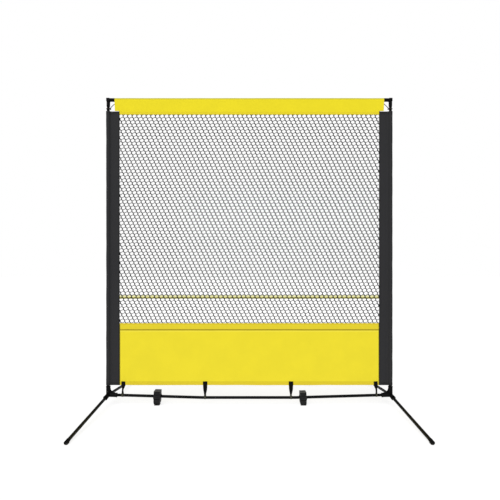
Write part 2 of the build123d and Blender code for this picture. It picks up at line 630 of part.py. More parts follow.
def soft_goods():
    nodes = {f"{side}_side_sleeve": side_sleeve(side) for side in SIDES}
    nodes["top_band"] = top_band()
    nodes["net_panel"] = net_panel()
    nodes["lower_band"] = lower_band()
    nodes["target_line"] = target_line()
    for kind, places in STRAP_X.items():
        nodes[f"{kind}_hem_straps"] = Compound([hem_strap(kind, x) for x in places])
    nodes["corner_ties"] = Compound([corner_tie(side) for side in SIDES])
    return nodes


def all_nodes():
    nodes = frame_tubes()
    for side in SIDES:
        nodes[f"{side}_base_hub"] = base_hub(side)
        nodes[f"{side}_top_elbow"] = corner_elbow(side)
        for end in ENDS:
            nodes[f"{side}_{end}_leg_cap"] = leg_cap(side, end)
    return nodes | buttons_and_clips() | bar_feet() | soft_goods()


os.makedirs("parts", exist_ok=True)
for node_name, node_shape in all_nodes().items():
    export_step(node_shape, f"parts/{node_name}.step")
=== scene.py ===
"""Soft goods and finishes of a free-standing ball rebounder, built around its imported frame.

X runs to the right along the bars, Y to the back and Z up, in metres, with the origin on the ground
midway between the uprights. Every piece is a grid of points worked out from a formula, put where
the frame's own boxes say, and left at the origin unturned, with its place in its mesh.
"""

import bpy
import numpy as np
from bpy.props import FloatProperty, FloatVectorProperty, PointerProperty
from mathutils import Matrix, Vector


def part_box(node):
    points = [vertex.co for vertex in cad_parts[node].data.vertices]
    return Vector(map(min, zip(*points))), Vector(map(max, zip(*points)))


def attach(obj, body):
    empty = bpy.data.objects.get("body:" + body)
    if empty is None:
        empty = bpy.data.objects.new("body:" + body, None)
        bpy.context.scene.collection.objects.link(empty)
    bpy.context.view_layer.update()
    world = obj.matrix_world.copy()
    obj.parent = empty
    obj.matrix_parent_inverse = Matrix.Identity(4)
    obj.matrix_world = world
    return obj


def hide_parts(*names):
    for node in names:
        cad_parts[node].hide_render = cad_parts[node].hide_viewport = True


bl_info = {
    "name": "Ball Rebounder",
    "version": (1, 0, 0),
    "blender": (4, 5, 0),
    "location": "3D View > Sidebar > Rebounder",
    "description": "Net, bands, sleeves, straps and finishes of a free-standing ball rebounder",
    "category": "Object",
}

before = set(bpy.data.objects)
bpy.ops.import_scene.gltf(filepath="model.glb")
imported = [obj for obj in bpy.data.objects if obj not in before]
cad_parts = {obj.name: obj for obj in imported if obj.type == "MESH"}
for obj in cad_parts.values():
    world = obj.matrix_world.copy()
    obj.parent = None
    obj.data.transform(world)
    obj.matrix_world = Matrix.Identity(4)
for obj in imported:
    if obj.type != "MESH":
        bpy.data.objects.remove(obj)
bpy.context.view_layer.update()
BODY = "frame"
SIDES = {"left": -1.0, "right": 1.0}
WHITE = (1.0, 1.0, 1.0)

# ------------------------------------------------------------------ places, read off the frame


def span(node):
    """The lowest and highest corners of a frame node as arrays."""
    low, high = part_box(node)
    return np.array(low), np.array(high)


def middle(node):
    """The middle of a frame node's box."""
    return sum(span(node)) / 2


UPRIGHT_X = abs(middle("left_upright_middle")[0])
TUBE_RADIUS = float(np.ptp(span("left_upright_middle"), axis=0)[0] / 2)
TOP_BAR_Z = middle("top_bar_middle")[2]
NET_LOW, NET_HIGH = span("net_panel")
PANEL_X = NET_HIGH[0]
BAND_LOW, BAND_HIGH = span("top_band")
LOWER_LOW, LOWER_HIGH = span("lower_band")
LINE_LOW, LINE_HIGH = span("target_line")
SLEEVE_LOW, SLEEVE_HIGH = span("right_side_sleeve")
SLEEVE_REACH = UPRIGHT_X - SLEEVE_LOW[0]
POCKET_RADIUS = SLEEVE_HIGH[1]
BAR_JOINT_X = -span("bottom_bar_middle")[0][0]
BAR_LOW_Z = middle("bottom_bar_middle")[2]
BAR_END_X = -span("bottom_bar_left")[0][0]
BAR_END_Z = span("bottom_bar_left")[1][2] - TUBE_RADIUS
TIE_LOW, TIE_HIGH = span("corner_ties")

# Cloth sizes that more than one piece goes by
SLEEVE_GAP = 0.0008  # from the middle plane to either ply of a sleeve's web
BAND_TUCK = 0.004  # how far the bands reach on into the sleeves
BESIDE_HEM = 0.0012  # the run in which cloth swells to a hem's thickness

# Each kind of ripple: its seed, its longest and its shortest wave in metres, and how many waves
WAVES = {
    "panel": (4, 1.3, 0.35, 7),
    "net sideways": (11, 0.55, 0.09, 8),
    "net upwards": (12, 0.60, 0.10, 8),
    "tape sag": (21, 0.5, 0.12, 7),
    "top band": (31, 0.30, 0.05, 7),
    "top band seam": (32, 0.6, 0.2, 7),
    "over the bar": (33, 0.5, 0.08, 7),
    "lower band": (41, 0.7, 0.16, 7),
    "lower band seam": (42, 0.5, 0.15, 7),
    "lower band side": (43, 0.16, 0.04, 7),
    "lower band hem": (44, 0.9, 0.15, 7),
    "sleeve web": (50, 0.22, 0.03, 7),
    "sleeve pocket": (51, 0.40, 0.05, 7),
    "sleeve seam": (52, 0.5, 0.1, 7),
}

# The width of each kind of strap at heights above the bottom bar's axis
STRAP_WIDTHS = {
    "middle": [
        (0.0, 0.013),
        (0.026, 0.015),
        (0.040, 0.020),
        (0.052, 0.026),
        (0.070, 0.031),
        (0.100, 0.034),
    ],
    "corner": [(0.0, 0.0115), (0.040, 0.012), (0.052, 0.014), (0.062, 0.022), (0.076, 0.030)],
}


def bar_height(x):
    """The height of the bottom bar's axis: level in the middle, then straight up to the hub."""
    return float(np.interp(abs(x), [BAR_JOINT_X, BAR_END_X], [BAR_LOW_Z, BAR_END_Z]))


def ease(value, start, end):
    """0 before start, 1 after end, and 3t^2 - 2t^3 between them."""
    t = np.clip((value - start) / (end - start), 0.0, 1.0)
    return t * t * (3.0 - 2.0 * t)


def bell(value, width):
    """exp(-(value / width)^2)."""
    return np.exp(-((value / width) ** 2))


def ripples(x, z, kind, reseed=0):
    """Crossing waves summed to about +-1. Each has its own heading and phase, from the kind's seed,
    and weighs as its length to the power 0.7."""
    seed, longest, shortest, count = WAVES[kind]
    pick = np.random.default_rng(seed + reseed)
    lengths = np.geomspace(longest, shortest, count)
    heading = pick.uniform(0.0, np.pi, count)
    phase = pick.uniform(0.0, 2.0 * np.pi, count)
    weight = lengths**0.7 / (lengths**0.7).sum()
    total = np.zeros(np.broadcast(x, z).shape)
    for length, turn, start, share in zip(lengths, heading, phase, weight):
        run = x * np.cos(turn) + z * np.sin(turn)
        total += share * np.sin(2 * np.pi * run / length + start)
    return 1.6 * total


def panel_sway(x, z):
    """How far the taut net and bands stand out of their plane: broad ripples that die out at the
    sleeves, towards the top bar and towards the bottom hem."""
    depth = 0.0020
    sides = 1.0 - np.clip(np.abs(x) / PANEL_X, 0.0, 1.0) ** 10
    top = ease(TOP_BAR_Z - z, 0.03, 0.45)
    bottom = ease(z - LOWER_LOW[2], 0.03, 0.30)
    return depth * sides * top * bottom * ripples(x, z, "panel")


def by_sleeve(x):
    """0 on the open panel, 1 at the sleeves' inner edges."""
    return ease(np.abs(x), PANEL_X - 0.012, PANEL_X - 0.002)


def held_in_sleeve(y, x, z):
    """y, kept between a sleeve's two plies where a band's end lies in the sleeve."""
    inside = by_sleeve(x) * ease(z, SLEEVE_HIGH[2] + 0.010, SLEEVE_HIGH[2] + 0.002)
    room = SLEEVE_GAP + 0.03 * (1.0 - inside)
    return np.clip(y, -room, room)


# ------------------------------------------------------------------ meshes


def link_object(name, data):
    """A new object at the origin that holds the given mesh, curve, light or camera."""
    made = bpy.data.objects.new(name, data)
    bpy.context.scene.collection.objects.link(made)
    return made


def make_piece(name, points, quads, flats, material, thickness=0.0, outward=False):
    """One smooth mesh object from arrays of points, quads and each quad corner's flat map. A closed
    mesh whose signed volume comes out below nothing is turned the right way out."""
    if outward:
        a, b, c, d = (points[quads[:, k]] for k in range(4))
        volume = (a * (np.cross(b, c) + np.cross(c, d))).sum()
        if volume < 0:
            quads, flats = quads[:, ::-1], flats[:, ::-1]
    mesh = bpy.data.meshes.new(name)
    mesh.from_pydata(points.tolist(), [], quads.tolist())
    layer = mesh.uv_layers.new(name="flat")
    layer.data.foreach_set("uv", flats.reshape(-1).astype(np.float32))
    mesh.polygons.foreach_set("use_smooth", np.ones(len(quads), bool))
    mesh.materials.append(material)
    mesh.update()
    made = link_object(name, mesh)
    if thickness:
        thick = made.modifiers.new("Thickness", "SOLIDIFY")
        thick.thickness = thickness
        thick.offset = 0.0
    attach(made, BODY)
    return made


def sheet_piece(name, grid, along, across, material, thickness):
    """A sheet over a grid of points (rows, columns, 3), as thick on one side of it as on the other.
    along and across are its flat map in metres, of each point or of each row and column."""
    rows, columns = grid.shape[:2]
    along = np.broadcast_to(along, (rows, columns))
    across = np.broadcast_to(across, (rows, columns))
    i, j = np.meshgrid(np.arange(rows - 1), np.arange(columns - 1), indexing="ij")
    row = np.stack([i, i + 1, i + 1, i], axis=-1).reshape(-1, 4)
    column = np.stack([j, j, j + 1, j + 1], axis=-1).reshape(-1, 4)
    flats = np.stack([along[row, column], across[row, column]], axis=-1)
    quads = row * columns + column
    return make_piece(name, grid.reshape(-1, 3), quads, flats, material, thickness)


def path_length(path):
    """The distance along a path of points from its first one, point by point."""
    steps = np.linalg.norm(np.diff(path, axis=0), axis=1)
    return np.concatenate([[0.0], np.cumsum(steps)])


def place_along(path, distances):
    """The points at given distances along a path, by straight interpolation."""
    measured = path_length(path)
    return np.stack([np.interp(distances, measured, one) for one in path.T], axis=-1)


def normals_2d(path):
    """The unit normal at each point of a plane path, its tangent turned a quarter to the left."""
    tangent = np.gradient(path, axis=0)
    tangent /= np.linalg.norm(tangent, axis=1, keepdims=True)
    return np.stack([-tangent[:, 1], tangent[:, 0]], axis=-1)


def fine_near(length, step, marks, reach=0.004, fine=0.0008):
    """Distances from 0 to length a step apart, and closer together round each mark."""
    near = [np.arange(mark - reach, mark + reach + fine / 2, fine) for mark in marks]
    every = np.concatenate([np.linspace(0.0, length, int(np.ceil(length / step)) + 1), *near])
    return np.unique(np.round(np.clip(every, 0.0, length), 6))


def on_circle(radius, angle):
    """The points (radius cos angle, radius sin angle)."""
    return radius * np.stack([np.cos(angle), np.sin(angle)], axis=-1)


def with_mirror(half):
    """A section's front half, and its mirror image behind the middle plane back to the start."""
    return np.concatenate([half, (half * [1.0, -1.0])[::-1][1:]])


def wedge_path(radius, gap, reach, hem):
    """The section of cloth hung over a bar, from its front edge over the bar to its back one.

    Its points are (how far down from the bar's axis, how far back). The two plies lie gap either
    side of the middle plane along the hem; from there each runs straight to where it touches the
    bar's circle: seen from a point at distance d, a tangent touches at acos(radius / d) round.
    """
    seen_from = np.array([reach - hem, -gap])
    distance = np.hypot(*seen_from)
    turned = np.arctan2(-gap, seen_from[0]) - np.arccos(radius / distance)
    touch = on_circle(radius, turned)
    web = np.stack([np.linspace(reach, seen_from[0], 12), np.full(12, -gap)], axis=-1)
    ply = seen_from + (touch - seen_from) * np.linspace(0.0, 1.0, 40)[1:, None]
    over_bar = on_circle(radius, np.linspace(turned, -np.pi, 24)[1:])
    return with_mirror(np.concatenate([web, ply, over_bar]))


def pocket_path(radius, gap, reach, hollow):
    """The section of cloth folded round a tube, from its front edge round the tube to its back one.

    Its points are (how far in from the tube's axis, how far back). A straight web lies gap in front
    of the middle plane; a hollow arc of the given radius touches both the web and the pocket's
    circle, so its centre is radius + hollow from the tube's axis; the back half mirrors the front.
    """
    foot = np.sqrt((radius + hollow) ** 2 - (gap + hollow) ** 2)
    lean = np.arctan2(gap + hollow, foot)
    web = np.stack([np.linspace(reach, foot, 40), np.full(40, -gap)], axis=-1)
    bend = on_circle(hollow, np.linspace(np.pi / 2, np.pi - lean, 14)[1:]) + [foot, -(gap + hollow)]
    round_tube = on_circle(radius, np.linspace(-lean, -np.pi, 30)[1:])
    return with_mirror(np.concatenate([web, bend, round_tube]))


# ------------------------------------------------------------------ materials


def linear(red, green, blue):
    """The linear colour of a screen colour given from 0 to 255."""
    c = np.array([red, green, blue]) / 255.0
    return tuple(np.where(c > 0.04045, ((c + 0.055) / 1.055) ** 2.4, c / 12.92).tolist())


def tint(colour, factor):
    """A colour with each part times a factor, and at most 1."""
    return tuple(min(part * factor, 1.0) for part in colour)


def add_node(tree, kind, inputs=None, **settings):
    """A new node in a tree. An input takes a number, a colour or another node's output."""
    made = tree.nodes.new(kind)
    for key, value in settings.items():
        setattr(made, key, value)
    for key, value in (inputs or {}).items():
        feed(tree, made.inputs[key], value)
    return made


def feed(tree, socket, value):
    """Joins an output to a socket, or sets the socket's own value."""
    if isinstance(value, bpy.types.NodeSocket):
        tree.links.new(value, socket)
    elif socket.type == "RGBA":
        socket.default_value = (*value, 1.0)
    else:
        socket.default_value = value


class Finish:
    """A node material under construction, and the nodes that its recipes are made of."""

    def __init__(self, name, **surface):
        self.material = bpy.data.materials.new(name)
        self.material.use_nodes = True
        self.tree = self.material.node_tree
        self.tree.nodes.clear()
        self.shader = self.add("ShaderNodeBsdfPrincipled", surface)
        self.add("ShaderNodeOutputMaterial", {"Surface": self.shader.outputs["BSDF"]})
        self.bump = None

    def add(self, kind, inputs=None, **settings):
        return add_node(self.tree, kind, inputs, **settings)

    def math(self, operation, a, b=0.0, c=0.0):
        return self.add("ShaderNodeMath", {0: a, 1: b, 2: c}, operation=operation).outputs[0]

    def times(self, a, b):
        return self.math("MULTIPLY", a, b)

    def off(self, a, b):
        """How far a is from b, either way."""
        return self.math("ABSOLUTE", self.math("SUBTRACT", a, b))

    def wave(self, value, pitch):
        """A sine wave of the given pitch."""
        return self.math("SINE", self.times(value, 2 * np.pi / pitch))

    def remap(self, value, start, end, low=0.0, high=1.0):
        """value eased from low at start to high at end."""
        inputs = {"Value": value, "From Min": start, "From Max": end, "To Min": low, "To Max": high}
        made = self.add("ShaderNodeMapRange", inputs, interpolation_type="SMOOTHSTEP")
        return made.outputs["Result"]

    def strip(self, value, start, end, soft=0.0006):
        """1 where value is between start and end."""
        rise = self.remap(value, start - soft, start + soft)
        fall = self.remap(value, end - soft, end + soft, 1.0, 0.0)
        return self.times(rise, fall)

    def place(self):
        """The point in the object's own metres."""
        return self.add("ShaderNodeTexCoord").outputs["Object"]

    def parts(self, vector):
        """The three parts of a vector."""
        return self.add("ShaderNodeSeparateXYZ", {0: vector}).outputs[:]

    def flat_place(self):
        """The flat map, and its two distances, along and across."""
        flat = self.add("ShaderNodeUVMap", uv_map="flat").outputs["UV"]
        along, across, _ = self.parts(flat)
        return flat, along, across

    def noise(self, place, scale, detail=3.0, roughness=0.55, stretch=None):
        if stretch:
            place = self.add("ShaderNodeMapping", {"Vector": place, "Scale": stretch}).outputs[0]
        inputs = {"Vector": place, "Scale": scale, "Detail": detail, "Roughness": roughness}
        return self.add("ShaderNodeTexNoise", inputs).outputs["Fac"]

    def mix(self, amount, first, second):
        """The first colour going over to the second as amount goes from 0 to 1."""
        made = self.add("ShaderNodeMix", data_type="RGBA")
        for socket, value in ((0, amount), (6, first), (7, second)):
            feed(self.tree, made.inputs[socket], value)
        return made.outputs[2]

    def raise_by(self, height, distance, strength=1.0):
        """Adds a bump of the given height map, on top of the bumps before it."""
        inputs = {"Height": height, "Distance": distance, "Strength": strength}
        if self.bump:
            inputs["Normal"] = self.bump
        self.bump = self.add("ShaderNodeBump", inputs).outputs["Normal"]

    def done(self, **surface):
        """The material, once its shader has these values and the bumps."""
        if self.bump:
            surface["Normal"] = self.bump
        for key, value in surface.items():
            feed(self.tree, self.shader.inputs[key.replace("_", " ")], value)
        return self.material


def stitch_row(f, across, place, along, pitch=0.0034):
    """Where the thread of one row of stitches lies: within half a millimetre of the row, and over
    most of each pitch."""
    line = f.remap(f.off(across, place), 0.00035, 0.0006, 1.0, 0.0)
    wave = f.math("PINGPONG", along, pitch / 2)
    return f.times(line, f.remap(wave, pitch * 0.08, pitch * 0.16))


def cloth(name, colour, thread, tones=(), rows=(), pitch=0.0007, sheen=0.12, net_marks=None):
    """Plain-woven coated cloth. tones are (axis, start, end, colour, amount) strips, rows are
    (axis, place) rows of stitches, and net_marks (axis, start, end) is a strip over the net; axis
    is "along" or "across" on the flat map.

    The weave is the product of two sine waves, one to a yarn's pitch each way. The colour drifts a
    little from yarn to yarn and over the cloth. Stitches stand up and pull the cloth in beside
    them.
    """
    f = Finish(name)
    flat, along, across = f.flat_place()
    axes = {"along": (along, across), "across": (across, along)}
    crossed = f.times(f.wave(along, pitch), f.wave(across, pitch))
    weave = f.math("MULTIPLY_ADD", crossed, 0.5, 0.5)
    drift = f.noise(flat, 5.0, 4.0, 0.6)
    slubs = f.noise(flat, 60.0, 3.0, 0.7, (1.0, 14.0, 1.0))
    dark = tint(colour, 0.80)
    shade = f.mix(f.remap(drift, 0.35, 0.68), tint(colour, 0.985), tint(colour, 1.025))
    shade = f.mix(f.times(f.remap(slubs, 0.45, 0.75), 0.16), shade, dark)
    # painted shade in the gaps of the weave
    shade = f.mix(f.times(f.math("SUBTRACT", 1.0, weave), 0.12), shade, dark)
    for axis, start, end, tone, amount in tones:
        inside = f.strip(axes[axis][0], start, end)
        shade = f.mix(f.times(inside, amount), shade, tone)
    f.raise_by(weave, 0.00012, 0.35)
    f.raise_by(f.noise(flat, 26.0, 3.0, 0.5), 0.0011, 0.35)
    if net_marks:
        axis, start, end = net_marks
        pressed = f.times(f.strip(axes[axis][0], start, end), net_pattern(f))
        shade = f.mix(f.times(pressed, 0.30), shade, dark)
        f.raise_by(pressed, 0.0011, 0.5)
    for axis, place in rows:
        crosswise, lengthwise = axes[axis]
        pull = f.remap(f.off(crosswise, place), 0.0, 0.006, 1.0, 0.0)
        stretch = (1.0, 0.3, 1.0) if axis == "across" else (0.3, 1.0, 1.0)
        ruck = f.noise(flat, 190.0, 2.0, 0.5, stretch)
        stitches = stitch_row(f, crosswise, place, lengthwise)
        f.raise_by(f.times(pull, ruck), 0.0016, 0.45)
        f.raise_by(stitches, 0.0005, 0.8)
        # painted shade where the cloth is pulled in beside the stitches
        shade = f.mix(f.times(pull, 0.12), shade, dark)
        shade = f.mix(stitches, shade, thread)
    return f.done(
        Base_Color=shade,
        Roughness=f.remap(weave, 0.0, 1.0, 0.82, 0.66),
        Specular_IOR_Level=0.22,
        Sheen_Weight=sheen,
        Sheen_Roughness=0.45,
    )


def net_pattern(f):
    """Where the net's cords press through cloth: two crossed sine waves along the net's rows."""
    net = bpy.context.scene.rebounder_net
    x, _, z = f.parts(f.place())
    slide = f.times(z, net.row_shift / net.row_drop)
    ribs = f.wave(f.math("ADD", x, slide), net.pitch)
    return f.remap(f.math("ADD", ribs, f.wave(z, net.row_drop)), 0.2, 1.7)


def twine(name, colour):
    """Knitted polyester twine: V-shaped loops in two columns along the cord's flat map."""
    f = Finish(name)
    column, loop = 0.0024, 0.0011
    _, along, across = f.flat_place()
    slanted = f.math("ADD", along, f.times(f.math("PINGPONG", across, column), 0.9))
    height = f.remap(f.math("PINGPONG", slanted, loop), 0.0, loop)
    f.raise_by(height, 0.0004, 0.6)
    fuzz = f.noise(f.place(), 900.0, 2.0, 0.6)
    # painted shade in the hollows between the loops
    shade = f.mix(height, tint(colour, 0.55), colour)
    shade = f.mix(f.times(f.remap(fuzz, 0.5, 0.8), 0.4), shade, tint(colour, 1.9))
    return f.done(
        Base_Color=shade,
        Roughness=f.remap(fuzz, 0.3, 0.7, 0.62, 0.85),
        Specular_IOR_Level=0.12,
        Sheen_Weight=0.03,
    )


def webbing(name, colour, rows, loop_from, loop_colour):
    """Woven strap: ribs across it 1.3 mm apart, crossed by a fine herringbone, and soft edges. Past
    loop_from its face is brushed loop pile of another colour."""
    f = Finish(name)
    rib, zig = 0.00065, 0.0006
    flat, along, across = f.flat_place()
    ribs = f.math("PINGPONG", along, rib)
    zigs = f.math("PINGPONG", f.math("ADD", across, f.times(along, 0.8)), zig)
    height = f.math("ADD", f.remap(ribs, 0.0, rib), f.remap(zigs, 0.0, zig))
    f.raise_by(height, 0.00035, 0.6)
    fuzz = f.noise(flat, 1200.0, 3.0, 0.7)
    # painted shade in the hollows between the ribs
    shade = f.mix(f.times(height, 0.5), tint(colour, 0.6), colour)
    pile = f.remap(along, loop_from - 0.001, loop_from + 0.001)
    shade = f.mix(pile, shade, f.mix(fuzz, tint(loop_colour, 0.55), tint(loop_colour, 1.3)))
    f.raise_by(f.times(pile, fuzz), 0.0012, 0.7)
    for axis, place in rows:
        crosswise, lengthwise = (across, along) if axis == "across" else (along, across)
        stitches = stitch_row(f, crosswise, place, lengthwise)
        f.raise_by(stitches, 0.0005, 0.8)
        shade = f.mix(stitches, shade, tint(colour, 2.4))
    return f.done(
        Base_Color=shade,
        Roughness=f.remap(fuzz, 0.3, 0.7, 0.68, 0.88),
        Specular_IOR_Level=0.12,
        Sheen_Weight=0.04,
    )


def braid(name, colour, pitch=0.0026):
    """Braided cord: two sets of strands that wind opposite ways round it, crossing in diamonds."""
    f = Finish(name)
    x, y, z = f.parts(f.place())
    one = f.wave(f.math("ADD", f.math("ADD", x, y), z), pitch)
    two = f.wave(f.math("SUBTRACT", f.math("SUBTRACT", x, y), z), pitch)
    height = f.math("MULTIPLY_ADD", f.times(one, two), 0.5, 0.5)
    f.raise_by(height, 0.0004, 0.6)
    # painted shade where the strands dip under each other
    shade = f.mix(height, tint(colour, 0.5), colour)
    rough = f.remap(height, 0.0, 1.0, 0.85, 0.7)
    return f.done(Base_Color=shade, Roughness=rough, Specular_IOR_Level=0.2)


def edge_wear_and_highlight(f, radius, amount):
    """How near a point is to an outside edge: how far a rounded normal leans off the true one."""
    rounded = f.add("ShaderNodeBevel", {"Radius": radius}, samples=4).outputs[0]
    true = f.add("ShaderNodeNewGeometry").outputs["Normal"]
    match = f.add("ShaderNodeVectorMath", {0: rounded, 1: true}, operation="DOT_PRODUCT")
    return f.times(f.remap(match.outputs["Value"], 0.97, 0.8), amount)


def coated_steel(name, colour):
    """Black powder coat: orange-peel texture, faint rubbed patches, scratches along the tubes."""
    f = Finish(name)
    bare = (0.055, 0.055, 0.056)
    place = f.place()
    peel = f.noise(place, 650.0, 2.0, 0.5)
    rubs = f.noise(place, 14.0, 5.0, 0.65)
    hairs = f.noise(place, 220.0, 2.0, 0.6, (0.08, 1.0, 0.08))
    scratch = f.times(f.remap(hairs, 0.70, 0.76), 0.35)
    shade = f.mix(f.times(f.remap(rubs, 0.56, 0.76), 0.5), colour, tint(colour, 2.2))
    shade = f.mix(scratch, shade, bare)
    f.raise_by(peel, 0.00022, 0.35)
    f.raise_by(f.times(scratch, -1.0), 0.0001, 0.5)
    rough = f.remap(rubs, 0.3, 0.8, 0.34, 0.5)
    return f.done(Base_Color=shade, Roughness=rough, Specular_IOR_Level=0.08)


def moulded(name, colour, grain=1700.0, edge=0.35, roughness=0.5, dust=0.0, painted_shadow_bands=()):
    """Moulded plastic: a fine sparked grain, faint flow marks and paler edges, rubbed and with a
    painted highlight. Dust and a painted top light lie on its level faces, with painted shade in
    corners, and painted shadow lies in bands at given heights."""
    f = Finish(name)
    # the dust colour also paints a top light on level faces; the near-black one paints shadow in
    # bands
    dust_colour, painted_shadow_colour = (0.11, 0.11, 0.105), (0.001, 0.001, 0.001)
    place = f.place()
    cells = f.add("ShaderNodeTexVoronoi", {"Vector": place, "Scale": grain}).outputs["Distance"]
    flow = f.noise(place, 32.0, 4.0, 0.6, (1.0, 0.5, 2.2))
    rubbed = tuple(min(part * 3.2 + 0.02, 0.4) for part in colour)
    shade = f.mix(f.remap(flow, 0.4, 0.75), colour, tint(colour, 1.35))
    # paler edges: rubbed wear, and a painted highlight along them
    shade = f.mix(edge_wear_and_highlight(f, 0.0012, edge), shade, rubbed)
    if dust:
        # dust and a painted top light on the faces that look up
        up = f.parts(f.add("ShaderNodeNewGeometry").outputs["Normal"])[2]
        speckle = f.remap(f.noise(place, 160.0, 4.0, 0.7), 0.25, 0.6, 0.6, 1.0)
        dust_and_top_light = f.times(f.remap(up, 0.6, 0.95, 0.0, dust), speckle)
        shade = f.mix(dust_and_top_light, shade, dust_colour)
        # painted shade in corners, from ambient occlusion
        painted_corner_shade = f.add("ShaderNodeAmbientOcclusion", {"Distance": 0.012}, samples=8).outputs["AO"]
        shade = f.mix(f.remap(painted_corner_shade, 0.35, 0.85, 0.85, 0.0), shade, tint(colour, 0.2))
    height = f.parts(place)[2]
    # painted shadow in bands at given heights
    for low, high in painted_shadow_bands:
        shade = f.mix(f.times(f.strip(height, low, high, 0.0012), 0.9), shade, painted_shadow_colour)
    f.raise_by(cells, 0.00016, 0.4)
    f.raise_by(flow, 0.0006, 0.15)
    rough = f.remap(flow, 0.3, 0.8, roughness - 0.06, roughness + 0.08)
    return f.done(Base_Color=shade, Roughness=rough, Specular_IOR_Level=0.08)


def rubber(name, colour):
    """Rubber: matt, finely pitted, with pale dust low down where it meets the ground."""
    f = Finish(name)
    dust_height, dust_colour = 0.012, (0.16, 0.15, 0.13)
    place = f.place()
    pits = f.noise(place, 1500.0, 3.0, 0.6)
    low_down = f.remap(f.parts(place)[2], 0.0, dust_height, 0.5, 0.0)
    shade = f.mix(f.remap(pits, 0.4, 0.7), tint(colour, 0.8), tint(colour, 1.2))
    shade = f.mix(f.times(low_down, f.noise(place, 120.0, 4.0, 0.7)), shade, dust_colour)
    f.raise_by(pits, 0.00025, 0.5)
    rough = f.remap(pits, 0.3, 0.7, 0.78, 0.92)
    return f.done(Base_Color=shade, Roughness=rough, Specular_IOR_Level=0.1)


def bare_metal(name, colour, roughness, grain):
    """Plated or blued steel: brushed grain one way, with clouding in the plating."""
    f = Finish(name, Metallic=1.0)
    place = f.place()
    brushed = f.noise(place, grain, 3.0, 0.6, (0.15, 1.0, 1.0))
    cloud = f.noise(place, 90.0, 3.0, 0.5)
    shade = f.mix(f.remap(cloud, 0.35, 0.7), tint(colour, 0.82), colour)
    f.raise_by(brushed, 0.00008, 0.35)
    rough = f.remap(brushed, 0.3, 0.7, roughness - 0.06, roughness + 0.1)
    return f.done(Base_Color=shade, Roughness=rough)


# ------------------------------------------------------------------ settings


class NetSettings(bpy.types.PropertyGroup):
    pitch: FloatProperty(
        name="Mesh Pitch",
        description="Distance between two mesh holes side by side",
        default=0.03573,
        min=0.01,
        unit="LENGTH",
        subtype="DISTANCE",
    )
    row_drop: FloatProperty(
        name="Row Drop",
        description="Distance from one row of holes down to the next",
        default=0.02383,
        min=0.008,
        unit="LENGTH",
        subtype="DISTANCE",
    )
    row_shift: FloatProperty(
        name="Row Shift",
        description="How far each row of holes lies to the right of the row above",
        default=0.011385,
        unit="LENGTH",
        subtype="DISTANCE",
    )
    rib_height: FloatProperty(
        name="Rib Height",
        description="Length of the upright side of each mesh hole",
        default=0.0135,
        min=0.002,
        unit="LENGTH",
        subtype="DISTANCE",
    )
    rib_width: FloatProperty(
        name="Rib Width",
        description="Width of the doubled ribs that step down the net",
        default=0.0070,
        min=0.0005,
        unit="LENGTH",
        subtype="DISTANCE",
    )
    link_width: FloatProperty(
        name="Link Width",
        description="Width of the single links between the ribs",
        default=0.0042,
        min=0.0005,
        unit="LENGTH",
        subtype="DISTANCE",
    )
    thickness: FloatProperty(
        name="Twine Thickness",
        description="Thickness of the twine from front to back",
        default=0.0020,
        min=0.0005,
        unit="LENGTH",
        subtype="DISTANCE",
    )
    slack: FloatProperty(
        name="Slack",
        description="How far the rows wander from their true lines",
        default=0.0022,
        min=0.0,
        unit="LENGTH",
        subtype="DISTANCE",
    )
    colour: FloatVectorProperty(
        name="Twine Colour",
        description="Colour of the net's twine",
        default=linear(34, 34, 35),
        min=0.0,
        max=1.0,
        subtype="COLOR",
    )


class ClothSettings(bpy.types.PropertyGroup):
    ply: FloatProperty(
        name="Cloth Thickness",
        description="Thickness of one layer of cloth",
        default=0.0007,
        min=0.0002,
        unit="LENGTH",
        subtype="DISTANCE",
    )
    ruck: FloatProperty(
        name="Rucking",
        description="Height of the small ripples beside the seams",
        default=0.0005,
        min=0.0,
        unit="LENGTH",
        subtype="DISTANCE",
    )
    top_colour: FloatVectorProperty(
        name="Top Band",
        description="Colour of the band round the top bar",
        default=linear(241, 223, 30),
        min=0.0,
        max=1.0,
        subtype="COLOR",
    )
    lower_colour: FloatVectorProperty(
        name="Lower Band",
        description="Colour of the band under the net",
        default=linear(239, 221, 42),
        min=0.0,
        max=1.0,
        subtype="COLOR",
    )
    hem_colour: FloatVectorProperty(
        name="Hems",
        description="Colour where the yellow cloth is doubled at its hems",
        default=linear(221, 198, 40),
        min=0.0,
        max=1.0,
        subtype="COLOR",
    )
    sleeve_colour: FloatVectorProperty(
        name="Side Sleeves",
        description="Colour of the cloth round the uprights",
        default=linear(42, 42, 44),
        min=0.0,
        max=1.0,
        subtype="COLOR",
    )


class StrapSettings(bpy.types.PropertyGroup):
    thickness: FloatProperty(
        name="Webbing Thickness",
        description="Thickness of the straps' webbing",
        default=0.0014,
        min=0.0004,
        unit="LENGTH",
        subtype="DISTANCE",
    )
    fold: FloatProperty(
        name="Gather Depth",
        description="Depth of the folds where a strap is gathered",
        default=0.0016,
        min=0.0,
        unit="LENGTH",
        subtype="DISTANCE",
    )
    drift: FloatProperty(
        name="Corner Drift",
        description="How far the corner straps are drawn out towards the hubs at the bar",
        default=0.006,
        min=0.0,
        unit="LENGTH",
        subtype="DISTANCE",
    )
    tie_diameter: FloatProperty(
        name="Tie Diameter",
        description="Diameter of the cords at the top corners",
        default=0.0050,
        min=0.001,
        unit="LENGTH",
        subtype="DISTANCE",
    )
    colour: FloatVectorProperty(
        name="Webbing",
        description="Colour of the straps",
        default=linear(5, 4, 4),
        min=0.0,
        max=1.0,
        subtype="COLOR",
    )
    loop_colour: FloatVectorProperty(
        name="Fastening",
        description="Colour of the brushed pile on the straps' fastening ends",
        default=linear(70, 70, 58),
        min=0.0,
        max=1.0,
        subtype="COLOR",
    )
    tie_colour: FloatVectorProperty(
        name="Ties",
        description="Colour of the cords at the top corners",
        default=linear(52, 44, 38),
        min=0.0,
        max=1.0,
        subtype="COLOR",
    )


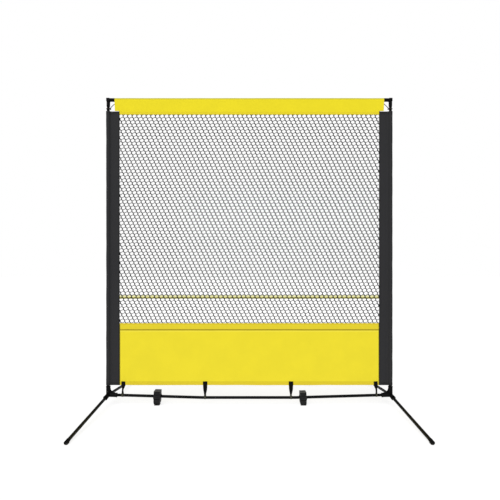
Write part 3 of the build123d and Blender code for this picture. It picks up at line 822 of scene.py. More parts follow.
class FrameSettings(bpy.types.PropertyGroup):
    coat_colour: FloatVectorProperty(
        name="Powder Coat",
        description="Colour of the coated steel tubes",
        default=linear(5, 5, 6),
        min=0.0,
        max=1.0,
        subtype="COLOR",
    )
    hub_colour: FloatVectorProperty(
        name="Hubs and Elbows",
        description="Colour of the moulded hubs and elbows",
        default=linear(8, 8, 9),
        min=0.0,
        max=1.0,
        subtype="COLOR",
    )
    foot_colour: FloatVectorProperty(
        name="Bar Feet",
        description="Colour of the moulded feet on the bottom bar",
        default=linear(33, 33, 33),
        min=0.0,
        max=1.0,
        subtype="COLOR",
    )
    rubber_colour: FloatVectorProperty(
        name="Rubber",
        description="Colour of the leg caps and foot pads",
        default=linear(12, 12, 12),
        min=0.0,
        max=1.0,
        subtype="COLOR",
    )


class StageSettings(bpy.types.PropertyGroup):
    distance: FloatProperty(
        name="Camera Distance",
        description="From the camera to the plane of the net",
        default=3.276,
        min=0.5,
        unit="LENGTH",
        subtype="DISTANCE",
    )
    height: FloatProperty(
        name="Camera Height",
        description="From the ground to the camera",
        default=1.046,
        min=0.0,
        unit="LENGTH",
        subtype="DISTANCE",
    )
    lens: FloatProperty(
        name="Focal Length",
        description="Focal length on a sensor 36 mm wide",
        default=30.24,
        min=5.0,
        unit="CAMERA",
    )
    sky: FloatProperty(
        name="Room Light",
        description="Brightness of the even light from all round",
        default=0.40,
        min=0.0,
    )
    sun: FloatProperty(
        name="Overhead Light",
        description="Brightness of the broad light from above and in front",
        default=1.60,
        min=0.0,
    )
    floor_glow: FloatProperty(
        name="Floor Glow",
        description="Brightness of the floor as a light table",
        default=0.82,
        min=0.0,
    )
    floor_colour: FloatVectorProperty(
        name="Floor",
        description="Colour of the plain floor",
        default=(0.3, 0.3, 0.3),
        min=0.0,
        max=1.0,
        subtype="COLOR",
    )


# ------------------------------------------------------------------ net and tape


class REBOUNDER_OT_net(bpy.types.Operator):
    """Knit the net panel between the sleeves and the bands"""

    bl_idname = "rebounder.net"
    bl_label = "Net Panel"

    def execute(self, context):
        knit_net(context.scene.rebounder_net)
        return {"FINISHED"}


def net_points(net, x, z):
    """The net's points at x, z: each wanders a little within the panel and sways out of it."""
    dx = net.slack * ripples(x, z, "net sideways")
    dz = 0.6 * net.slack * ripples(x, z, "net upwards")
    return np.stack([x + dx, panel_sway(x, z), z + dz], axis=-1)


def flat_cord(centres, across, width, thickness):
    """Rings of four points, width across by thickness from front to back, round each centre."""
    half = across * (width / 2)
    depth = np.array([0.0, thickness / 2, 0.0])
    corners = [half - depth, -half - depth, -half + depth, half + depth]
    return np.stack([centres + corner for corner in corners], axis=-2)


def cord_quads(rings, kept):
    """Quads of many flat cords at once, with each kept stretch closed at its two ends.

    rings is (cords, rings, 4, 3) and kept (cords, rings - 1) says which steps between rings stay.
    """
    cords, count = rings.shape[:2]
    number = np.arange(cords * count * 4).reshape(cords, count, 4)
    here, there = number[:, :-1][kept], number[:, 1:][kept]
    turn = np.roll(np.arange(4), -1)
    walls = np.stack([here, there, there[:, turn], here[:, turn]], axis=-1).reshape(-1, 4)
    before = np.pad(kept, ((0, 0), (1, 0)))[:, :-1]
    after = np.pad(kept, ((0, 0), (0, 1)))[:, 1:]
    starts = number[:, :-1][kept & ~before][:, ::-1]
    ends = number[:, 1:][kept & ~after]
    return walls, np.concatenate([starts, ends])


def cut_at_sides(lines, limit):
    """Lines of (x, z) points whose steps over x = +-limit end there instead."""
    first, last = lines[:, :-1], lines[:, 1:]
    for inner, outer in ((first, last), (last, first)):
        inner_x, outer_x = np.abs(inner[..., 0]), np.abs(outer[..., 0])
        over = (inner_x < limit) & (outer_x > limit)
        share = ((limit - inner_x[over]) / (outer_x[over] - inner_x[over]))[:, None]
        outer[over] = inner[over] + share * (outer[over] - inner[over])


def knit_cords(net, lines, width, thickness, side_x, low_z, high_z):
    """Points, quads and flat maps of the cords along many (x, z) lines, cut off at the sides and
    left out beyond low_z and high_z. A ring's across direction is its line's heading, turned a
    quarter within the net's plane; the flat map runs along the cord and round it."""
    cut_at_sides(lines, side_x)
    centres = net_points(net, lines[..., 0], lines[..., 1])
    heading = np.gradient(centres, axis=1)
    level = np.zeros(heading.shape[:2])
    across = np.stack([-heading[..., 2], level, heading[..., 0]], axis=-1)
    across /= np.linalg.norm(across, axis=-1, keepdims=True)
    rings = flat_cord(centres, across, width, thickness)
    x, z = np.moveaxis((lines[:, :-1] + lines[:, 1:]) / 2, -1, 0)
    walls, ends = cord_quads(rings, (np.abs(x) < side_x) & (z > low_z) & (z < high_z))
    steps = np.linalg.norm(np.diff(lines, axis=1), axis=-1)
    along = np.pad(np.cumsum(steps, axis=1), ((0, 0), (1, 0))).reshape(-1)
    around = np.cumsum([0.0, width, thickness, width, thickness])
    side = walls[:, 0] % 4
    start, finish = along[walls[:, 0] // 4], along[walls[:, 1] // 4]
    left, right = around[side], around[side + 1]
    flats = np.stack(
        [
            np.stack([start, finish, finish, start], axis=-1),
            np.stack([left, left, right, right], axis=-1),
        ],
        axis=-1,
    )
    flats = np.concatenate([flats, np.zeros((len(ends), 4, 2))])
    return rings.reshape(-1, 3), np.concatenate([walls, ends]), flats


def knit_net(net):
    """The net as flat cords: doubled ribs that step down to the right, joined by single links.

    Hole (c, r) lies at c pitches right and r rows down, each row shifted right by row_shift. A rib
    runs down the right side of a hole for rib_height, then slants to the top of the next one; each
    of its corners is cut off by two rings. A link climbs from the top of one rib's upright to the
    bottom of the upright above and to the right. Cords run on a little way into the bands and
    sleeves, and are closed where they end.
    """
    first_x, first_z = 0.0074, 1.5586  # the middle of hole (0, 0)
    corner_cut = 0.0026
    tuck = 0.007
    side_x = PANEL_X + tuck
    low_z, high_z = NET_LOW[2] - tuck, NET_HIGH[2] + tuck
    rows = np.arange(
        int(np.floor((first_z - high_z) / net.row_drop)) - 2,
        int(np.ceil((first_z - low_z) / net.row_drop)) + 3,
    )
    columns = np.arange(
        int(np.floor((-side_x - first_x - rows[-1] * net.row_shift) / net.pitch)) - 2,
        int(np.ceil((side_x - first_x - rows[0] * net.row_shift) / net.pitch)) + 3,
    )
    c, r = np.meshgrid(columns, rows, indexing="ij")
    top_x = first_x + (c + 0.5) * net.pitch + r * net.row_shift
    top_z = first_z - r * net.row_drop + net.rib_height / 2
    top = np.stack([top_x, top_z], axis=-1)
    bottom = top - [0.0, net.rib_height]
    slant = np.array([net.row_shift, net.rib_height - net.row_drop])
    slant_cut = slant / np.linalg.norm(slant) * corner_cut
    rib = [
        top - [0.0, corner_cut],
        bottom + [0.0, corner_cut],
        bottom + slant_cut,
        bottom + slant - slant_cut,
    ]
    rib = np.stack(rib, axis=2).reshape(len(columns), -1, 2)
    link = np.stack([top[:-1, 1:], bottom[1:, :-1]], axis=2).reshape(-1, 2, 2)
    bounds = side_x, low_z, high_z
    rib_points, rib_quads, rib_flats = knit_cords(
        net, rib, net.rib_width, net.thickness, *bounds
    )
    link_points, link_quads, link_flats = knit_cords(
        net, link, net.link_width, net.thickness * 0.8, *bounds
    )
    points = np.concatenate([rib_points, link_points])
    quads = np.concatenate([rib_quads, link_quads + len(rib_points)])
    flats = np.concatenate([rib_flats, link_flats])
    used, quads = np.unique(quads, return_inverse=True)
    material = twine("net twine", tuple(net.colour))
    quads = quads.reshape(-1, 4)
    made = make_piece("net_mesh", points[used], quads, flats, material, outward=True)
    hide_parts("net_panel")


class REBOUNDER_OT_target_line(bpy.types.Operator):
    """Sew the target tape across the back of the net"""

    bl_idname = "rebounder.target_line"
    bl_label = "Target Line"

    def execute(self, context):
        weave_target_line(context.scene.rebounder_net)
        return {"FINISHED"}


def weave_target_line(net):
    """A tape on the back of the net: it lies against the twine, sways with it and dents a little at
    each mesh, and its ends are sewn over the backs of the sleeves."""
    pale, dark, thread = linear(248, 245, 188), linear(209, 204, 117), linear(120, 112, 40)
    thickness, clear = 0.0006, 0.00055
    reach = PANEL_X + 0.010
    x = np.linspace(-reach, reach, 420)[:, None]
    z = np.linspace(LINE_LOW[2], LINE_HIGH[2], 9)[None, :]
    over_sleeve = 0.0009 * by_sleeve(x)
    dents = 0.0002 * np.sin(2 * np.pi * x / net.pitch)
    sag = 0.0012 * ripples(x, 0 * x, "tape sag")
    y = panel_sway(x, z) + net.thickness / 2 + clear + over_sleeve + dents
    grid = np.stack(np.broadcast_arrays(x, y, z + sag), axis=-1)
    fold = 0.0145  # the darker, doubled lower half ends here
    material = cloth(
        "target tape",
        pale,
        thread,
        tones=[("across", -0.001, fold, dark, 1.0)],
        rows=[("across", place) for place in (0.0025, fold, 0.0255)],
        pitch=0.0005,
    )
    made = sheet_piece("target_tape", grid, x, z - LINE_LOW[2], material, thickness)
    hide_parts("target_line")


# ------------------------------------------------------------------ bands and sleeves


class REBOUNDER_OT_top_band(bpy.types.Operator):
    """Sew the yellow band round the top bar and over the top of the net"""

    bl_idname = "rebounder.top_band"
    bl_label = "Top Band"

    def execute(self, context):
        sew_top_band(context.scene.rebounder_cloth)
        return {"FINISHED"}


def sew_top_band(settings):
    """Cloth folded over the top bar, its two edges sewn together over the top of the net.

    Rows go round the section of wedge_path, which lies down from the bar; each row is a straight
    run in x. Above the sleeves' tops the ends stand clear on the bar; below those the band reaches
    just inside the sleeves. The cloth thickens at its hem, puckers beside the hem's seam and hangs
    a little loose above it.
    """
    hem, edge_row = 0.020, 0.004
    gap, over_tube = 0.0009, 0.0008
    over_bar_shade_run = 0.0215  # either way from the top of the bar, the run of painted shade on the cloth over the bar
    reach = TOP_BAR_Z - BAND_LOW[2]
    path = wedge_path(BAND_HIGH[1] + over_tube, gap, reach, hem)
    length = path_length(path)[-1]
    notch_z = SLEEVE_HIGH[2] + 0.0045
    notch = notch_z - BAND_LOW[2]
    marks = [hem, length - hem, 0.002, length - 0.002, notch, length - notch]
    s = fine_near(length, 0.006, marks)
    section = place_along(path, s)
    normal = normals_2d(section)
    to_edge = np.minimum(s, length - s)
    swell = 0.00068 * ease(to_edge, hem + BESIDE_HEM, hem - BESIDE_HEM)
    section = section + normal * swell[:, None]
    down, back = section.T
    z = TOP_BAR_Z - down
    half_run = np.where(z > notch_z + 0.0002, BAND_HIGH[0], PANEL_X + BAND_TUCK)
    u = np.concatenate([[-1.0, -0.9985], np.linspace(-0.995, 0.995, 330), [0.9985, 1.0]])
    x = u[:, None] * half_run[None, :]
    z = np.broadcast_to(z, x.shape)
    web = ease(np.broadcast_to(down, x.shape), 0.012, 0.03)
    loose = settings.ruck * web * ease(to_edge, hem, hem + 0.02) * ripples(x, z, "top band")
    near_seam = np.exp(-np.abs(to_edge - hem) / 0.006)
    phase = 2 * np.pi * x / 0.017 + 3 * ripples(x, z, "top band seam")
    pucker = 0.00022 * near_seam * np.sin(phase)
    over_bar = 0.0005 * (1.0 - web) * ripples(x, z, "over the bar")
    out = normal[None, :, :] * (over_bar - pucker)[..., None]
    y = held_in_sleeve(back[None, :] + out[..., 1] + loose, x, z) + panel_sway(x, z) * web
    grid = np.stack([x, y, z - out[..., 0]], axis=-1)
    yellow, hem_tone = tuple(settings.top_colour), tuple(settings.hem_colour)
    # painted shade on the cloth over the top of the bar: darker and less yellow
    painted_shade_over_bar = (yellow[0] * 0.72, yellow[1] * 0.79, yellow[2] * 2.6)
    top = length / 2
    material = cloth(
        "top band cloth",
        yellow,
        tint(yellow, 0.85),
        tones=[
            ("across", -0.01, hem, hem_tone, 0.45),
            ("across", length - hem, length + 0.01, hem_tone, 0.45),
            ("across", top - over_bar_shade_run, top + over_bar_shade_run, painted_shade_over_bar, 1.0),
        ],
        rows=[("across", place) for place in (hem, length - hem, edge_row, length - edge_row)],
    )
    made = sheet_piece("top_band_cloth", grid, x, s, material, settings.ply)
    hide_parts("top_band")


class REBOUNDER_OT_lower_band(bpy.types.Operator):
    """Sew the yellow band under the net"""

    bl_idname = "rebounder.lower_band"
    bl_label = "Lower Band"

    def execute(self, context):
        sew_lower_band(context.scene.rebounder_cloth)
        return {"FINISHED"}


def sew_lower_band(settings):
    """Doubled cloth from a strip over the net's bottom edge down to a folded hem and up the back.

    The section is two plies either side of the middle plane, joined by a half circle at the hem.
    The plies stand apart over the net, close up under the strip's lower edge, and part a little
    again at the bottom hem; broad, slight undulations run across both.
    """
    high, low = LOWER_HIGH[2], LOWER_LOW[2]
    strip_end, hem_height = 0.0520, 0.0280
    seam, hem = high - strip_end, low + hem_height
    apart, half_gap = 0.0009, 0.00078
    reach = PANEL_X + BAND_TUCK
    hem_start = high - hem
    down = fine_near(high - low - apart, 0.009, [0.0, strip_end, hem_start], 0.005, 0.0009)
    z_front = high - down
    strip_swell = 0.00075 * ease(z_front, seam + 0.0002, seam + 0.0022)
    hem_swell = 0.00035 * ease(z_front, hem + BESIDE_HEM, hem - BESIDE_HEM)
    groove = 0.00055 * bell(z_front - seam, 0.0020) + 0.0003 * bell(z_front - hem, 0.0015)
    half = half_gap + strip_swell + hem_swell - groove
    turn = np.linspace(0.0, np.pi, 9)[1:-1]
    fold = half[-1]
    y_section = np.concatenate([-half, -fold * np.cos(turn), half[::-1]])
    z_section = np.concatenate([z_front, z_front[-1] - fold * np.sin(turn), z_front[::-1]])
    s = path_length(np.stack([y_section, z_section], axis=-1))
    inner = np.linspace(-reach + 0.006, reach - 0.006, 300)
    x = np.concatenate([[-reach, -reach + 0.002], inner, [reach - 0.002, reach]])[:, None]
    y, z = y_section[None, :], z_section[None, :]
    free = ease(z, low + 0.010, low + 0.06) * (1.0 - np.clip(np.abs(x) / PANEL_X, 0, 1) ** 16)
    undulation = 0.0007 * free * ripples(x * 1.6, z, "lower band")
    by_seam = np.exp(-np.abs(z - seam) / 0.012) + 0.7 * np.exp(-np.abs(z - hem) / 0.009)
    phase = 2 * np.pi * x / 0.021 + 4 * ripples(x, z, "lower band seam")
    pucker = settings.ruck * 0.5 * by_seam * np.sin(phase)
    by_side = np.exp(-(PANEL_X - np.abs(x)).clip(0) / 0.03)
    side_pull = 0.0005 * by_side * ripples(x * 0, z, "lower band side") * free
    y = held_in_sleeve(y + undulation + side_pull + np.sign(y) * pucker, x, z) + panel_sway(x, z)
    hang = 0.0011 * ease(z, low + 0.03, low) * ripples(x, 0 * x, "lower band hem")
    grid = np.stack(np.broadcast_arrays(x, y, z + hang), axis=-1)
    length = s[-1]
    back_seam = length - strip_end
    yellow, hem_tone = tuple(settings.lower_colour), tuple(settings.hem_colour)
    # painted shadow along the seams, a painted highlight below the front seam, and painted shadow
    # where the band meets the sleeves
    painted_seam_shadow, painted_highlight, painted_side_shadow = linear(120, 100, 0), linear(243, 229, 72), linear(70, 60, 4)
    side_start = PANEL_X - 0.0045
    material = cloth(
        "lower band cloth",
        yellow,
        tint(yellow, 0.8),
        tones=[
            ("across", -0.01, strip_end, hem_tone, 0.55),
            ("across", -0.01, 0.012, hem_tone, 1.0),
            ("across", strip_end - 0.0095, strip_end, hem_tone, 0.9),
            # painted shadow along the front seam
            ("across", strip_end - 0.0035, strip_end + 0.0045, painted_seam_shadow, 0.9),
            # painted highlight on the puff below the front seam
            ("across", strip_end + 0.008, strip_end + 0.015, painted_highlight, 0.8),
            ("across", hem_start, length - hem_start, hem_tone, 0.85),
            ("across", back_seam, length + 0.01, hem_tone, 0.55),
            # painted shadow along the back seam
            ("across", back_seam - 0.0045, back_seam + 0.0035, painted_seam_shadow, 0.9),
            # painted shadow where the band meets each sleeve
            ("along", -2 * reach, -side_start, painted_side_shadow, 0.85),
            ("along", side_start, 2 * reach, painted_side_shadow, 0.85),
        ],
        rows=[
            ("across", place)
            for place in (strip_end, hem_start, length - hem_start, back_seam)
        ],
        net_marks=("across", -0.01, strip_end - 0.003),
    )
    made = sheet_piece("lower_band_cloth", grid, x, s, material, settings.ply)
    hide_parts("lower_band")


class REBOUNDER_OT_side_sleeves(bpy.types.Operator):
    """Sew the black sleeves round the uprights"""

    bl_idname = "rebounder.side_sleeves"
    bl_label = "Side Sleeves"

    def execute(self, context):
        for side in SIDES:
            sew_sleeve(side, context.scene.rebounder_cloth)
        return {"FINISHED"}


def sew_sleeve(side, settings):
    """Cloth folded round an upright, its two edges sewn together over the edge of the net.

    The section is pocket_path laid in from the upright. Hems at the top and bottom swell it, a row
    of stitches closes the pocket beside the tube, and slight ripples run up the cloth.
    """
    hem, end_hem, hollow = 0.011, 0.021, 0.012
    painted_edge_shade, painted_fold_shade = 0.008, 0.0135  # how wide the painted shade along the edges and round the outer fold is
    pocket_seam = SLEEVE_REACH - 0.030
    reseed = 0 if side == "left" else 10
    path = pocket_path(POCKET_RADIUS - 0.0006, SLEEVE_GAP, SLEEVE_REACH, hollow)
    length = path_length(path)[-1]
    seams = [hem, length - hem, pocket_seam, length - pocket_seam]
    s = fine_near(length, 0.0048, seams, 0.0024, 0.0008)
    section = place_along(path, s)
    normal = normals_2d(section)
    to_edge = np.minimum(s, length - s)
    edge_swell = 0.00072 * ease(to_edge, hem + BESIDE_HEM, hem - BESIDE_HEM)
    seam_dip = 0.00025 * bell(to_edge - pocket_seam, 0.0018)
    low, high = SLEEVE_LOW[2], SLEEVE_HIGH[2]
    height = high - low
    z = (low + fine_near(height, 0.011, [end_hem, height - end_hem], 0.004, 0.001))[:, None]
    to_end = np.minimum(z - low, high - z)
    end_swell = 0.00045 * ease(to_end, end_hem + 0.0008, end_hem - 0.0008)
    before_seam = 1.0 - ease(to_edge, pocket_seam - 0.004, pocket_seam + 0.004)
    on_web = ease(to_edge, 0.006, 0.016) * before_seam
    on_pocket = ease(to_edge, pocket_seam, pocket_seam + 0.012)
    rippled = settings.ruck * 0.9 * on_web * ripples(s * 3.0, z, "sleeve web", reseed)
    loose = 0.0009 * on_pocket * ripples(s * 2.0, z, "sleeve pocket", reseed)
    by_pocket = np.exp(-np.abs(to_edge - pocket_seam) / 0.005)
    by_hem = np.exp(-np.abs(to_edge - hem) / 0.004)
    phase = 2 * np.pi * z / 0.016 + 3 * ripples(z, 0 * z, "sleeve seam", reseed)
    pucker = 0.00018 * (by_pocket + by_hem) * np.sin(phase)
    out = edge_swell - seam_dip + end_swell + loose + pucker
    inward = section[:, 0] + normal[:, 0] * out
    back = section[:, 1] + normal[:, 1] * out + rippled
    x = SIDES[side] * (UPRIGHT_X - inward)
    grid = np.stack(np.broadcast_arrays(x, back, z), axis=-1)
    black = tuple(settings.sleeve_colour)
    # a darker tone, for the doubled end hems and for the painted shade along the edges and round
    # the outer fold
    shade = tint(black, 0.55)
    outer = length / 2
    material = cloth(
        f"{side} sleeve cloth",
        black,
        tint(black, 1.7),
        tones=[
            ("along", -0.01, end_hem, shade, 0.6),
            ("along", height - end_hem, height + 0.01, shade, 0.6),
            # painted shade along the two edges
            ("across", -0.01, painted_edge_shade, shade, 0.9),
            ("across", length - painted_edge_shade, length + 0.01, shade, 0.9),
            # painted shade round the outer fold, where the cloth turns round the tube
            ("across", outer - painted_fold_shade, outer + painted_fold_shade, shade, 1.0),
        ],
        rows=[
            *(("across", place) for place in seams),
            ("along", end_hem),
            ("along", height - end_hem),
        ],
        sheen=0.0,
    )
    made = sheet_piece(f"{side}_sleeve_cloth", grid, z - low, s, material, settings.ply)
    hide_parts(f"{side}_side_sleeve")


# ------------------------------------------------------------------ straps and ties


class REBOUNDER_OT_hem_straps(bpy.types.Operator):
    """Sew the four hem straps to the lower band and round the bottom bar"""

    bl_idname = "rebounder.hem_straps"
    bl_label = "Hem Straps"

    def execute(self, context):
        settings = context.scene.rebounder_strap
        for kind, widths in STRAP_WIDTHS.items():
            low, high = span(f"{kind}_hem_straps")
            half = widths[-1][1] / 2
            for side, x in (("left", low[0] + half), ("right", high[0] - half)):
                fold_strap(f"{side}_{kind}_strap", kind, x, widths, high[2], settings)
        return {"FINISHED"}


def fold_strap(name, kind, x, widths, top_z, settings):
    """A strap sewn to the hem, gathered to a neck, and looped in a teardrop round the bottom bar.

    In the plane across the bar the strap runs down the front of the hem to a point above the bar,
    down the tangent to a circle round the tube, round under it and up the other tangent, and ends
    flat behind its own neck. Tangents from a point h above a circle of radius r touch it at an
    angle of acos(r / h) either side of the top. Its corners are rounded by a running average. Its
    width follows a list of widths by height, and where it narrows it is folded in ridges, a cosine
    across the width. A corner strap's narrow part is drawn outward.
    """
    clear, neck_height, beside = 0.0003, 0.027, 0.001
    bar_z = bar_height(x)
    slope = (bar_height(x + beside) - bar_height(x - beside)) / (2 * beside)
    radius = TUBE_RADIUS + clear + settings.thickness / 2
    neck = bar_z + neck_height
    lean = np.arccos(radius / neck_height)
    turn = np.linspace(np.pi / 2 + lean, 5 * np.pi / 2 - lean, 40)
    hem_y, hem_z = -0.0026, LOWER_LOW[2] - 0.002
    front = [[hem_y, top_z], [hem_y, hem_z], [-0.0030, neck + 0.010], [-0.0018, neck]]
    behind = [[0.0016, neck], [-0.0004, neck + 0.008], [-0.0008, neck + 0.020]]
    corners = np.concatenate([front, on_circle(radius, turn) + [0.0, bar_z], behind])
    fine = place_along(corners, np.linspace(0.0, path_length(corners)[-1], 150))
    window = np.hanning(9) / np.hanning(9).sum()
    margin = len(window) // 2
    padded = np.pad(fine, ((margin, margin), (0, 0)), mode="reflect", reflect_type="odd")
    path = np.stack([np.convolve(one, window, mode="valid") for one in padded.T], axis=-1)
    s = path_length(path)
    total = s[-1]
    normal = normals_2d(path)[:, None, :]
    heights, sizes = np.transpose(widths)
    top_width, neck_width = sizes[-1], sizes[0]
    width = np.minimum.accumulate(np.interp(path[:, 1] - bar_z, heights, sizes))
    width = np.convolve(np.pad(width, margin, mode="edge"), window, mode="valid")
    narrow = (top_width - width) / (top_width - neck_width)
    t = np.linspace(-1.0, 1.0, 21)
    gather = narrow * (1.0 - 0.75 * ease(s, 0.55 * total, 0.66 * total))
    ridges = settings.fold * gather[:, None] * (np.cos(2.5 * np.pi * t) * 0.5 - 0.25 * t**2)
    curl = 0.0004 * ease(np.abs(t), 0.8, 1.0)
    y, z = np.moveaxis(path[:, None, :] + normal * (ridges - curl)[..., None], -1, 0)
    across = t * width[:, None] / 2
    sway = 0.0009 * np.sin(s / total * 9.0) * narrow
    if kind == "corner":
        sway += settings.drift * np.sign(x) * narrow * ease(s, 0.0, 0.45 * total)
    grid = np.stack([x + across + sway[:, None], y, z + slope * across], axis=-1)
    lap = top_z - LOWER_LOW[2]
    edge = 0.003  # from an edge of the strap to its row of stitches
    rows = [("along", edge), ("along", lap - 0.004), ("across", edge), ("across", top_width - edge)]
    material = webbing(
        f"{name} webbing",
        tuple(settings.colour),
        rows,
        loop_from=0.47 * total,
        loop_colour=tuple(settings.loop_colour),
    )
    along, flat_across = s[:, None], across + top_width / 2
    made = sheet_piece(name, grid, along, flat_across, material, settings.thickness)
    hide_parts(f"{kind}_hem_straps")


class REBOUNDER_OT_corner_ties(bpy.types.Operator):
    """Tie the ends of the top band to the uprights"""

    bl_idname = "rebounder.corner_ties"
    bl_label = "Corner Ties"

    def execute(self, context):
        for side in SIDES:
            tie_corner(side, context.scene.rebounder_strap)
        return {"FINISHED"}


def tie_corner(side, settings):
    """A cord from the end of the top band down to the upright, once round it, and into a knot.

    Its line is a smooth spline whose control points stand on an eight-sided ring round the tube,
    slowly dropping, so that it clears the tube all the way round. The knot is a tube along a
    trefoil: (-1.3 sin 3t, sin t + 2 sin 2t, cos t - 2 cos 2t) times its size, stretched a little.
    """
    sign = SIDES[side]
    knot_size, knot_cord, knot_stretch = 0.00155, 0.40, [1.0, 1.15, 1.15]
    drop = 0.0068
    cut_in = 0.925  # the share of its control ring's radius at which the spline runs
    loop_z = TIE_LOW[2] + 0.0050
    end = np.array([BAND_HIGH[0] + 0.0012, 0.0, TIE_HIGH[2] + 0.0010])
    ring = (TUBE_RADIUS + 0.0006 + settings.tie_diameter / 2) / cut_in
    turns = np.radians([170, 215, 260, 305, 350, 395, 440, 485, 522])
    x, y = UPRIGHT_X + ring * np.cos(turns), -ring * np.sin(turns)
    z = loop_z + 0.0040 - drop * np.linspace(0.0, 1.0, len(turns))
    around = np.stack([x, y, z], axis=-1)
    lead = around[0] - end
    first = [end, end + lead * 0.35 + [0, 0.0004, 0.0016], end + lead * 0.75 + [0, 0, 0.0006]]
    points = np.concatenate([first, around])
    points[:, 0] *= sign
    curve = bpy.data.curves.new(f"{side}_corner_tie", "CURVE")
    curve.dimensions = "3D"
    curve.bevel_depth = settings.tie_diameter / 2
    curve.bevel_resolution = 4
    curve.use_fill_caps = True
    curve.resolution_u = 10
    spline = curve.splines.new("NURBS")
    spline.points.add(len(points) - 1)
    spline.points.foreach_set("co", np.column_stack([points, np.ones(len(points))]).ravel())
    spline.order_u = 3
    spline.use_endpoint_u = True
    material = braid(f"{side} tie cord", tuple(settings.tie_colour))
    curve.materials.append(material)
    cord = link_object(f"{side}_corner_tie", curve)
    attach(cord, BODY)
    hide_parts("corner_ties")
    t = np.linspace(0.0, 2 * np.pi, 97)[:-1]
    trefoil = [-1.3 * np.sin(3 * t), np.sin(t) + 2 * np.sin(2 * t), np.cos(t) - 2 * np.cos(2 * t)]
    knot_x = sign * (UPRIGHT_X - TUBE_RADIUS - 0.0072)
    knot_at = np.array([knot_x, -0.0016, loop_z + 0.0002])
    line = knot_at + knot_size * np.stack(trefoil, axis=-1) * knot_stretch
    knot = closed_tube(
        f"{side}_tie_knot", line, settings.tie_diameter * knot_cord, 10, [1.0, 0.0, 0.0], material
    )
    length = float(path_length(spline_line(curve))[-1])


def spline_line(curve):
    """The points of a curve's own line, read from it with no thickness."""
    bare = curve.copy()
    bare.bevel_depth = 0.0
    holder = bpy.data.objects.new("line", bare)
    mesh = bpy.data.meshes.new_from_object(holder)
    line = np.empty(3 * len(mesh.vertices))
    mesh.vertices.foreach_get("co", line)
    bpy.data.meshes.remove(mesh)
    bpy.data.objects.remove(holder)
    bpy.data.curves.remove(bare)
    return line.reshape(-1, 3)


def closed_tube(name, line, radius, sides, axis, material):
    """A tube round a closed line that nowhere runs along the given axis. Each ring stands square to
    the line: its first spoke is the line's direction crossed with the axis, and its second one the
    direction crossed with that."""
    count = len(line)
    tangent = np.roll(line, -1, axis=0) - np.roll(line, 1, axis=0)
    tangent /= np.linalg.norm(tangent, axis=1, keepdims=True)
    normal = np.cross(tangent, axis)
    normal /= np.linalg.norm(normal, axis=1, keepdims=True)
    binormal = np.cross(tangent, normal)
    angle = np.linspace(0.0, 2 * np.pi, sides, endpoint=False)[:, None]
    spokes = normal[:, None] * np.cos(angle) + binormal[:, None] * np.sin(angle)
    rings = line[:, None] + radius * spokes
    number = np.arange(count * sides).reshape(count, sides)
    ahead = np.roll(number, -1, axis=0)
    corners = [number, ahead, np.roll(ahead, -1, axis=1), np.roll(number, -1, axis=1)]
    quads = np.stack(corners, axis=-1).reshape(-1, 4)
    flats = np.zeros((len(quads), 4, 2))
    return make_piece(name, rings.reshape(-1, 3), quads, flats, material, outward=True)


# ------------------------------------------------------------------ finishes of the frame


def dress(material, *endings):
    """Gives a material to every frame node whose name ends in one of these."""
    for name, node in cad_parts.items():
        if name.endswith(endings):
            node.data.materials.clear()
            node.data.materials.append(material)


class REBOUNDER_OT_tube_finish(bpy.types.Operator):
    """Powder-coat the uprights, legs and bars"""

    bl_idname = "rebounder.tube_finish"
    bl_label = "Tube Finish"

    def execute(self, context):
        coat = coated_steel("powder coat", tuple(context.scene.rebounder_frame.coat_colour))
        bars = ("bar_left", "bar_middle", "bar_right")
        uprights = ("upright_lower", "upright_middle", "upright_upper")
        dress(coat, *uprights, "front_leg", "rear_leg", *bars)
        return {"FINISHED"}


class REBOUNDER_OT_moulding_finish(bpy.types.Operator):
    """Finish the moulded hubs, elbows, leg caps and bar feet"""

    bl_idname = "rebounder.moulding_finish"
    bl_label = "Moulding Finish"

    def execute(self, context):
        settings = context.scene.rebounder_frame
        dress(moulded("hub plastic", tuple(settings.hub_colour)), "base_hub", "top_elbow")
        for side in SIDES:
            low, high = span(f"{side}_bar_foot_block")
            # painted shadow in the groove under the cap's lip, and low down where the block meets
            # the pad
            groove = (high[2] - 0.0185, high[2] - 0.0125)
            foot = moulded(
                f"{side} foot plastic",
                tuple(settings.foot_colour),
                grain=1300.0,
                edge=0.25,
                roughness=0.58,
                # dust and a painted top light on the feet's level faces
                dust=0.7,
                painted_shadow_bands=[groove, (low[2], low[2] + 0.0055)],
            )
            dress(foot, f"{side}_bar_foot_block", f"{side}_bar_foot_cap")
        dress(rubber("black rubber", tuple(settings.rubber_colour)), "leg_cap", "foot_pad")
        return {"FINISHED"}


class REBOUNDER_OT_hardware_finish(bpy.types.Operator):
    """Finish the snap buttons, their clips, the bolts and the nuts"""

    bl_idname = "rebounder.hardware_finish"
    bl_label = "Hardware Finish"

    def execute(self, context):
        dress(bare_metal("zinc plate", (0.62, 0.63, 0.65), 0.3, 900.0), "_button")
        dress(bare_metal("blued spring steel", (0.16, 0.17, 0.20), 0.36, 1200.0), "_clips")
        dress(bare_metal("dull zinc", (0.46, 0.46, 0.45), 0.42, 700.0), "_bolts", "_nuts")
        return {"FINISHED"}


# ------------------------------------------------------------------ stage


class REBOUNDER_OT_stage(bpy.types.Operator):
    """Set the floor, the light and the camera"""

    bl_idname = "rebounder.stage"
    bl_label = "Stage"

    def execute(self, context):
        set_stage(context.scene, context.scene.rebounder_stage)
        return {"FINISHED"}


